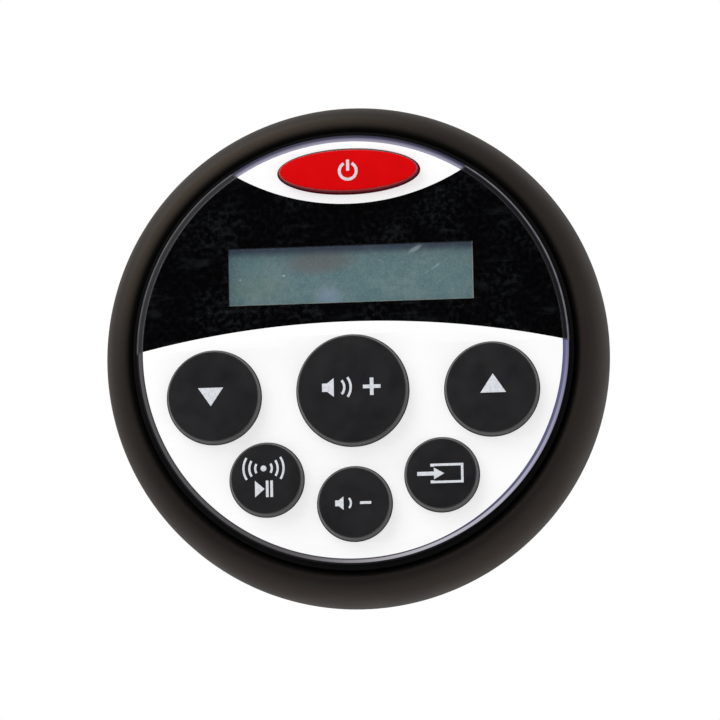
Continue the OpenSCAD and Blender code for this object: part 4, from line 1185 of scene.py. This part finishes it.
finish = Finish("copper_turns", Metallic=1.0)
turn = finish.node("ShaderNodeTexWave", {"wave_type": "RINGS", "rings_direction": "Y"}, {
    "Vector": finish.mapped(1.1), "Scale": 1.0, "Distortion": 0.4})
copper_turns = finish.feed(
    Base_Color=finish.blend(turn, tint(120, 66, 38), tint(206, 128, 82)),
    Roughness=0.5 - turn * 0.2, Normal=finish.bump(turn, 0.2))

finish = Finish("striped_rubber")
stripe = finish.node("ShaderNodeTexWave", {"bands_direction": "X"}, {
    "Vector": finish.mapped(0.4), "Scale": 1.0}).rise(0.4, 0.6)
striped_rubber = finish.feed(
    Base_Color=finish.blend(stripe, tint(28, 28, 30), tint(214, 206, 190)),
    Roughness=stripe * 0.2 + 0.5)
print("patterned finishes:", [m.name for m in (board_green, copper_turns, striped_rubber)])

# %% Plain finishes inside
white_plastic = moulded("white_plastic", tint(226, 226, 222), 0.45, 0.4, 0.01, 0.04)
clear_guide = moulded("clear_guide", tint(206, 216, 218), 0.12, 2.0, 0.004, 0.03, IOR=1.49)
mat_rubber = moulded("mat_rubber", tint(58, 58, 60), 0.7, 0.3, 0.02, 0.15)
black_part = moulded("black_part", tint(24, 24, 25), 0.4, 0.5, 0.02, 0.2)
sleeve = moulded("capacitor_sleeve", tint(36, 44, 78), 0.3, 1.5, 0.006, 0.15)
lamp_resin = moulded("lamp_resin", tint(232, 222, 180), 0.25, 1.0, 0.004, 0.06)
tinned = metal("tinned_can", tint(198, 200, 200), 0.38, (1, 1, 0.1))

INSIDE = {
    frame_skin: ["front_frame", "body_seal", "cover_seal"],
    white_plastic: ["lcd_frame", "board_header"], clear_guide: ["light_guide"],
    striped_rubber: ["contact_strips"], lamp_resin: ["backlight_lamps"],
    mat_rubber: ["keypad_mat"], board_green: ["control_board", "main_board"],
    black_part: ["tact_switches", "amplifier_chip"] + [k + "_plunger" for k in KEYS + ("power",)],
    tinned: ["tuner_can", "chip_clamp"], sleeve: ["capacitors"], copper_turns: ["choke"],
    brass: ["standoffs"], steel: ["bezel_screws", "frame_screws", "board_screws", "clamp_screws"]}
for finish, nodes in INSIDE.items():
    for node in nodes:
        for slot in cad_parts[node].material_slots:
            slot.material = finish
print("CAD pieces dressed:", sum(len(n) for n in INSIDE.values()))

# %% [markdown]
# ## Light and surroundings
# The picture is a product shot on pure white with soft light from the upper left. The
# world is white where the camera, a reflection or a see-through ray looks at it, and
# dimmer as a light, so that a white face renders just below full white. A lamp by the
# camera takes away most of the shadow round the keys, and one at the upper left grazes
# the face and brightens the ring's upper left, as in the picture.
# The picture looks up at the face, so the camera and its lamp stand below the floor's
# plane. The floor is therefore one-way: from below it is clear. The lamp is small, so
# that its whole disc stays under that plane. A faint glow of its own keeps the floor
# pale in the other views.
# Gloss black reflects what stands in front of it. In the studio that was a dark room
# behind the camera, so a dark card stands there, seen by reflections only.

# %% World
scene = bpy.context.scene
scene.view_settings.view_transform = "Standard"
world = bpy.data.worlds.new("white_room")
scene.world = world
world.use_nodes = True
room = Bench(world.node_tree)
world.node_tree.nodes.clear()
seen = [room.node("ShaderNodeLightPath", out=name) for name in
        ("Is Camera Ray", "Is Glossy Ray", "Is Transmission Ray")]
shown = seen[0].most(seen[1]).most(seen[2])
AMBIENT = 0.3
glow = room.node("ShaderNodeBackground", None, {
    "Color": (1, 1, 1, 1), "Strength": shown * (1 - AMBIENT) + AMBIENT})
room.node("ShaderNodeOutputWorld", None, {"Surface": glow})
print("world gives", AMBIENT, "as a light")

# %% Lamps
def lamp(name, place, size, watts):
    data = bpy.data.lights.new(name, "AREA")
    data.shape, data.size, data.energy = "DISK", size, watts
    thing = added(name, data)
    thing.location = place
    thing.rotation_mode = "QUATERNION"
    thing.rotation_quaternion = (face_middle - Vector(place)).to_track_quat("-Z", "Y")
    thing.visible_camera = False
    return thing


LAMP_DISTANCE, UPPER_LEFT = 1.1, (-0.7, -0.25, 0.95)
front = lamp("front_lamp", face_middle + back * LAMP_DISTANCE, 0.2, 7.8)
front.visible_glossy = False
grazing = lamp("upper_left_lamp", UPPER_LEFT, 1.5, 11)
print("lamps:", front.name, "and", grazing.name)

# %% Card and floor
def flat_stage(name, corners, material):
    mesh = bpy.data.meshes.new(name)
    mesh.from_pydata(corners, [], [(0, 1, 2, 3)])
    mesh.materials.append(material)
    thing = added(name, mesh)
    return thing


finish = Finish("dark_card", Roughness=1.0, Specular_IOR_Level=0.0)
dark = finish.feed(Base_Color=finish.blend(finish.noise(60), tint(2, 2, 2), tint(6, 6, 6)))
CARD_Y, CARD_LEFT, CARD_RIGHT, CARD_LOW, CARD_HIGH = -0.62, -0.55, 0.5, -0.5, 0.6
card = flat_stage("dark_card", [
    (CARD_LEFT, CARD_Y, CARD_LOW), (CARD_RIGHT, CARD_Y, CARD_LOW),
    (CARD_RIGHT, CARD_Y, CARD_HIGH), (CARD_LEFT, CARD_Y, CARD_HIGH)], dark)
card.visible_camera = False

finish = Finish("pale_floor", Roughness=0.9, Emission_Color=(1, 1, 1, 1), Emission_Strength=0.18)
finish.feed(Base_Color=finish.blend(
    finish.noise(90, 3.0), tint(238, 238, 238), tint(244, 244, 244)))
surface = finish.shader.outputs[0].links[0].to_socket
from_below = finish.node("ShaderNodeNewGeometry", out="Backfacing")
clear = finish.node("ShaderNodeBsdfTransparent")
one_way = finish.node("ShaderNodeMixShader", None, {
    0: from_below, 1: Wire(finish, finish.shader.outputs[0]), 2: clear})
finish.tree.links.new(one_way.socket, surface)
FLOOR_HALF, floor_z = 3, cad_box[0].z
floor = flat_stage("pale_floor", [
    (sx * FLOOR_HALF, sy * FLOOR_HALF, floor_z)
    for sx, sy in ((-1, -1), (1, -1), (1, 1), (-1, 1))], finish.material)
floor.visible_glossy = False
for thing in (card, floor):
    thing.visible_diffuse = False
    thing.visible_transmission = False
    thing.visible_shadow = False
print("floor at", round(floor_z / MM, 2), "mm")
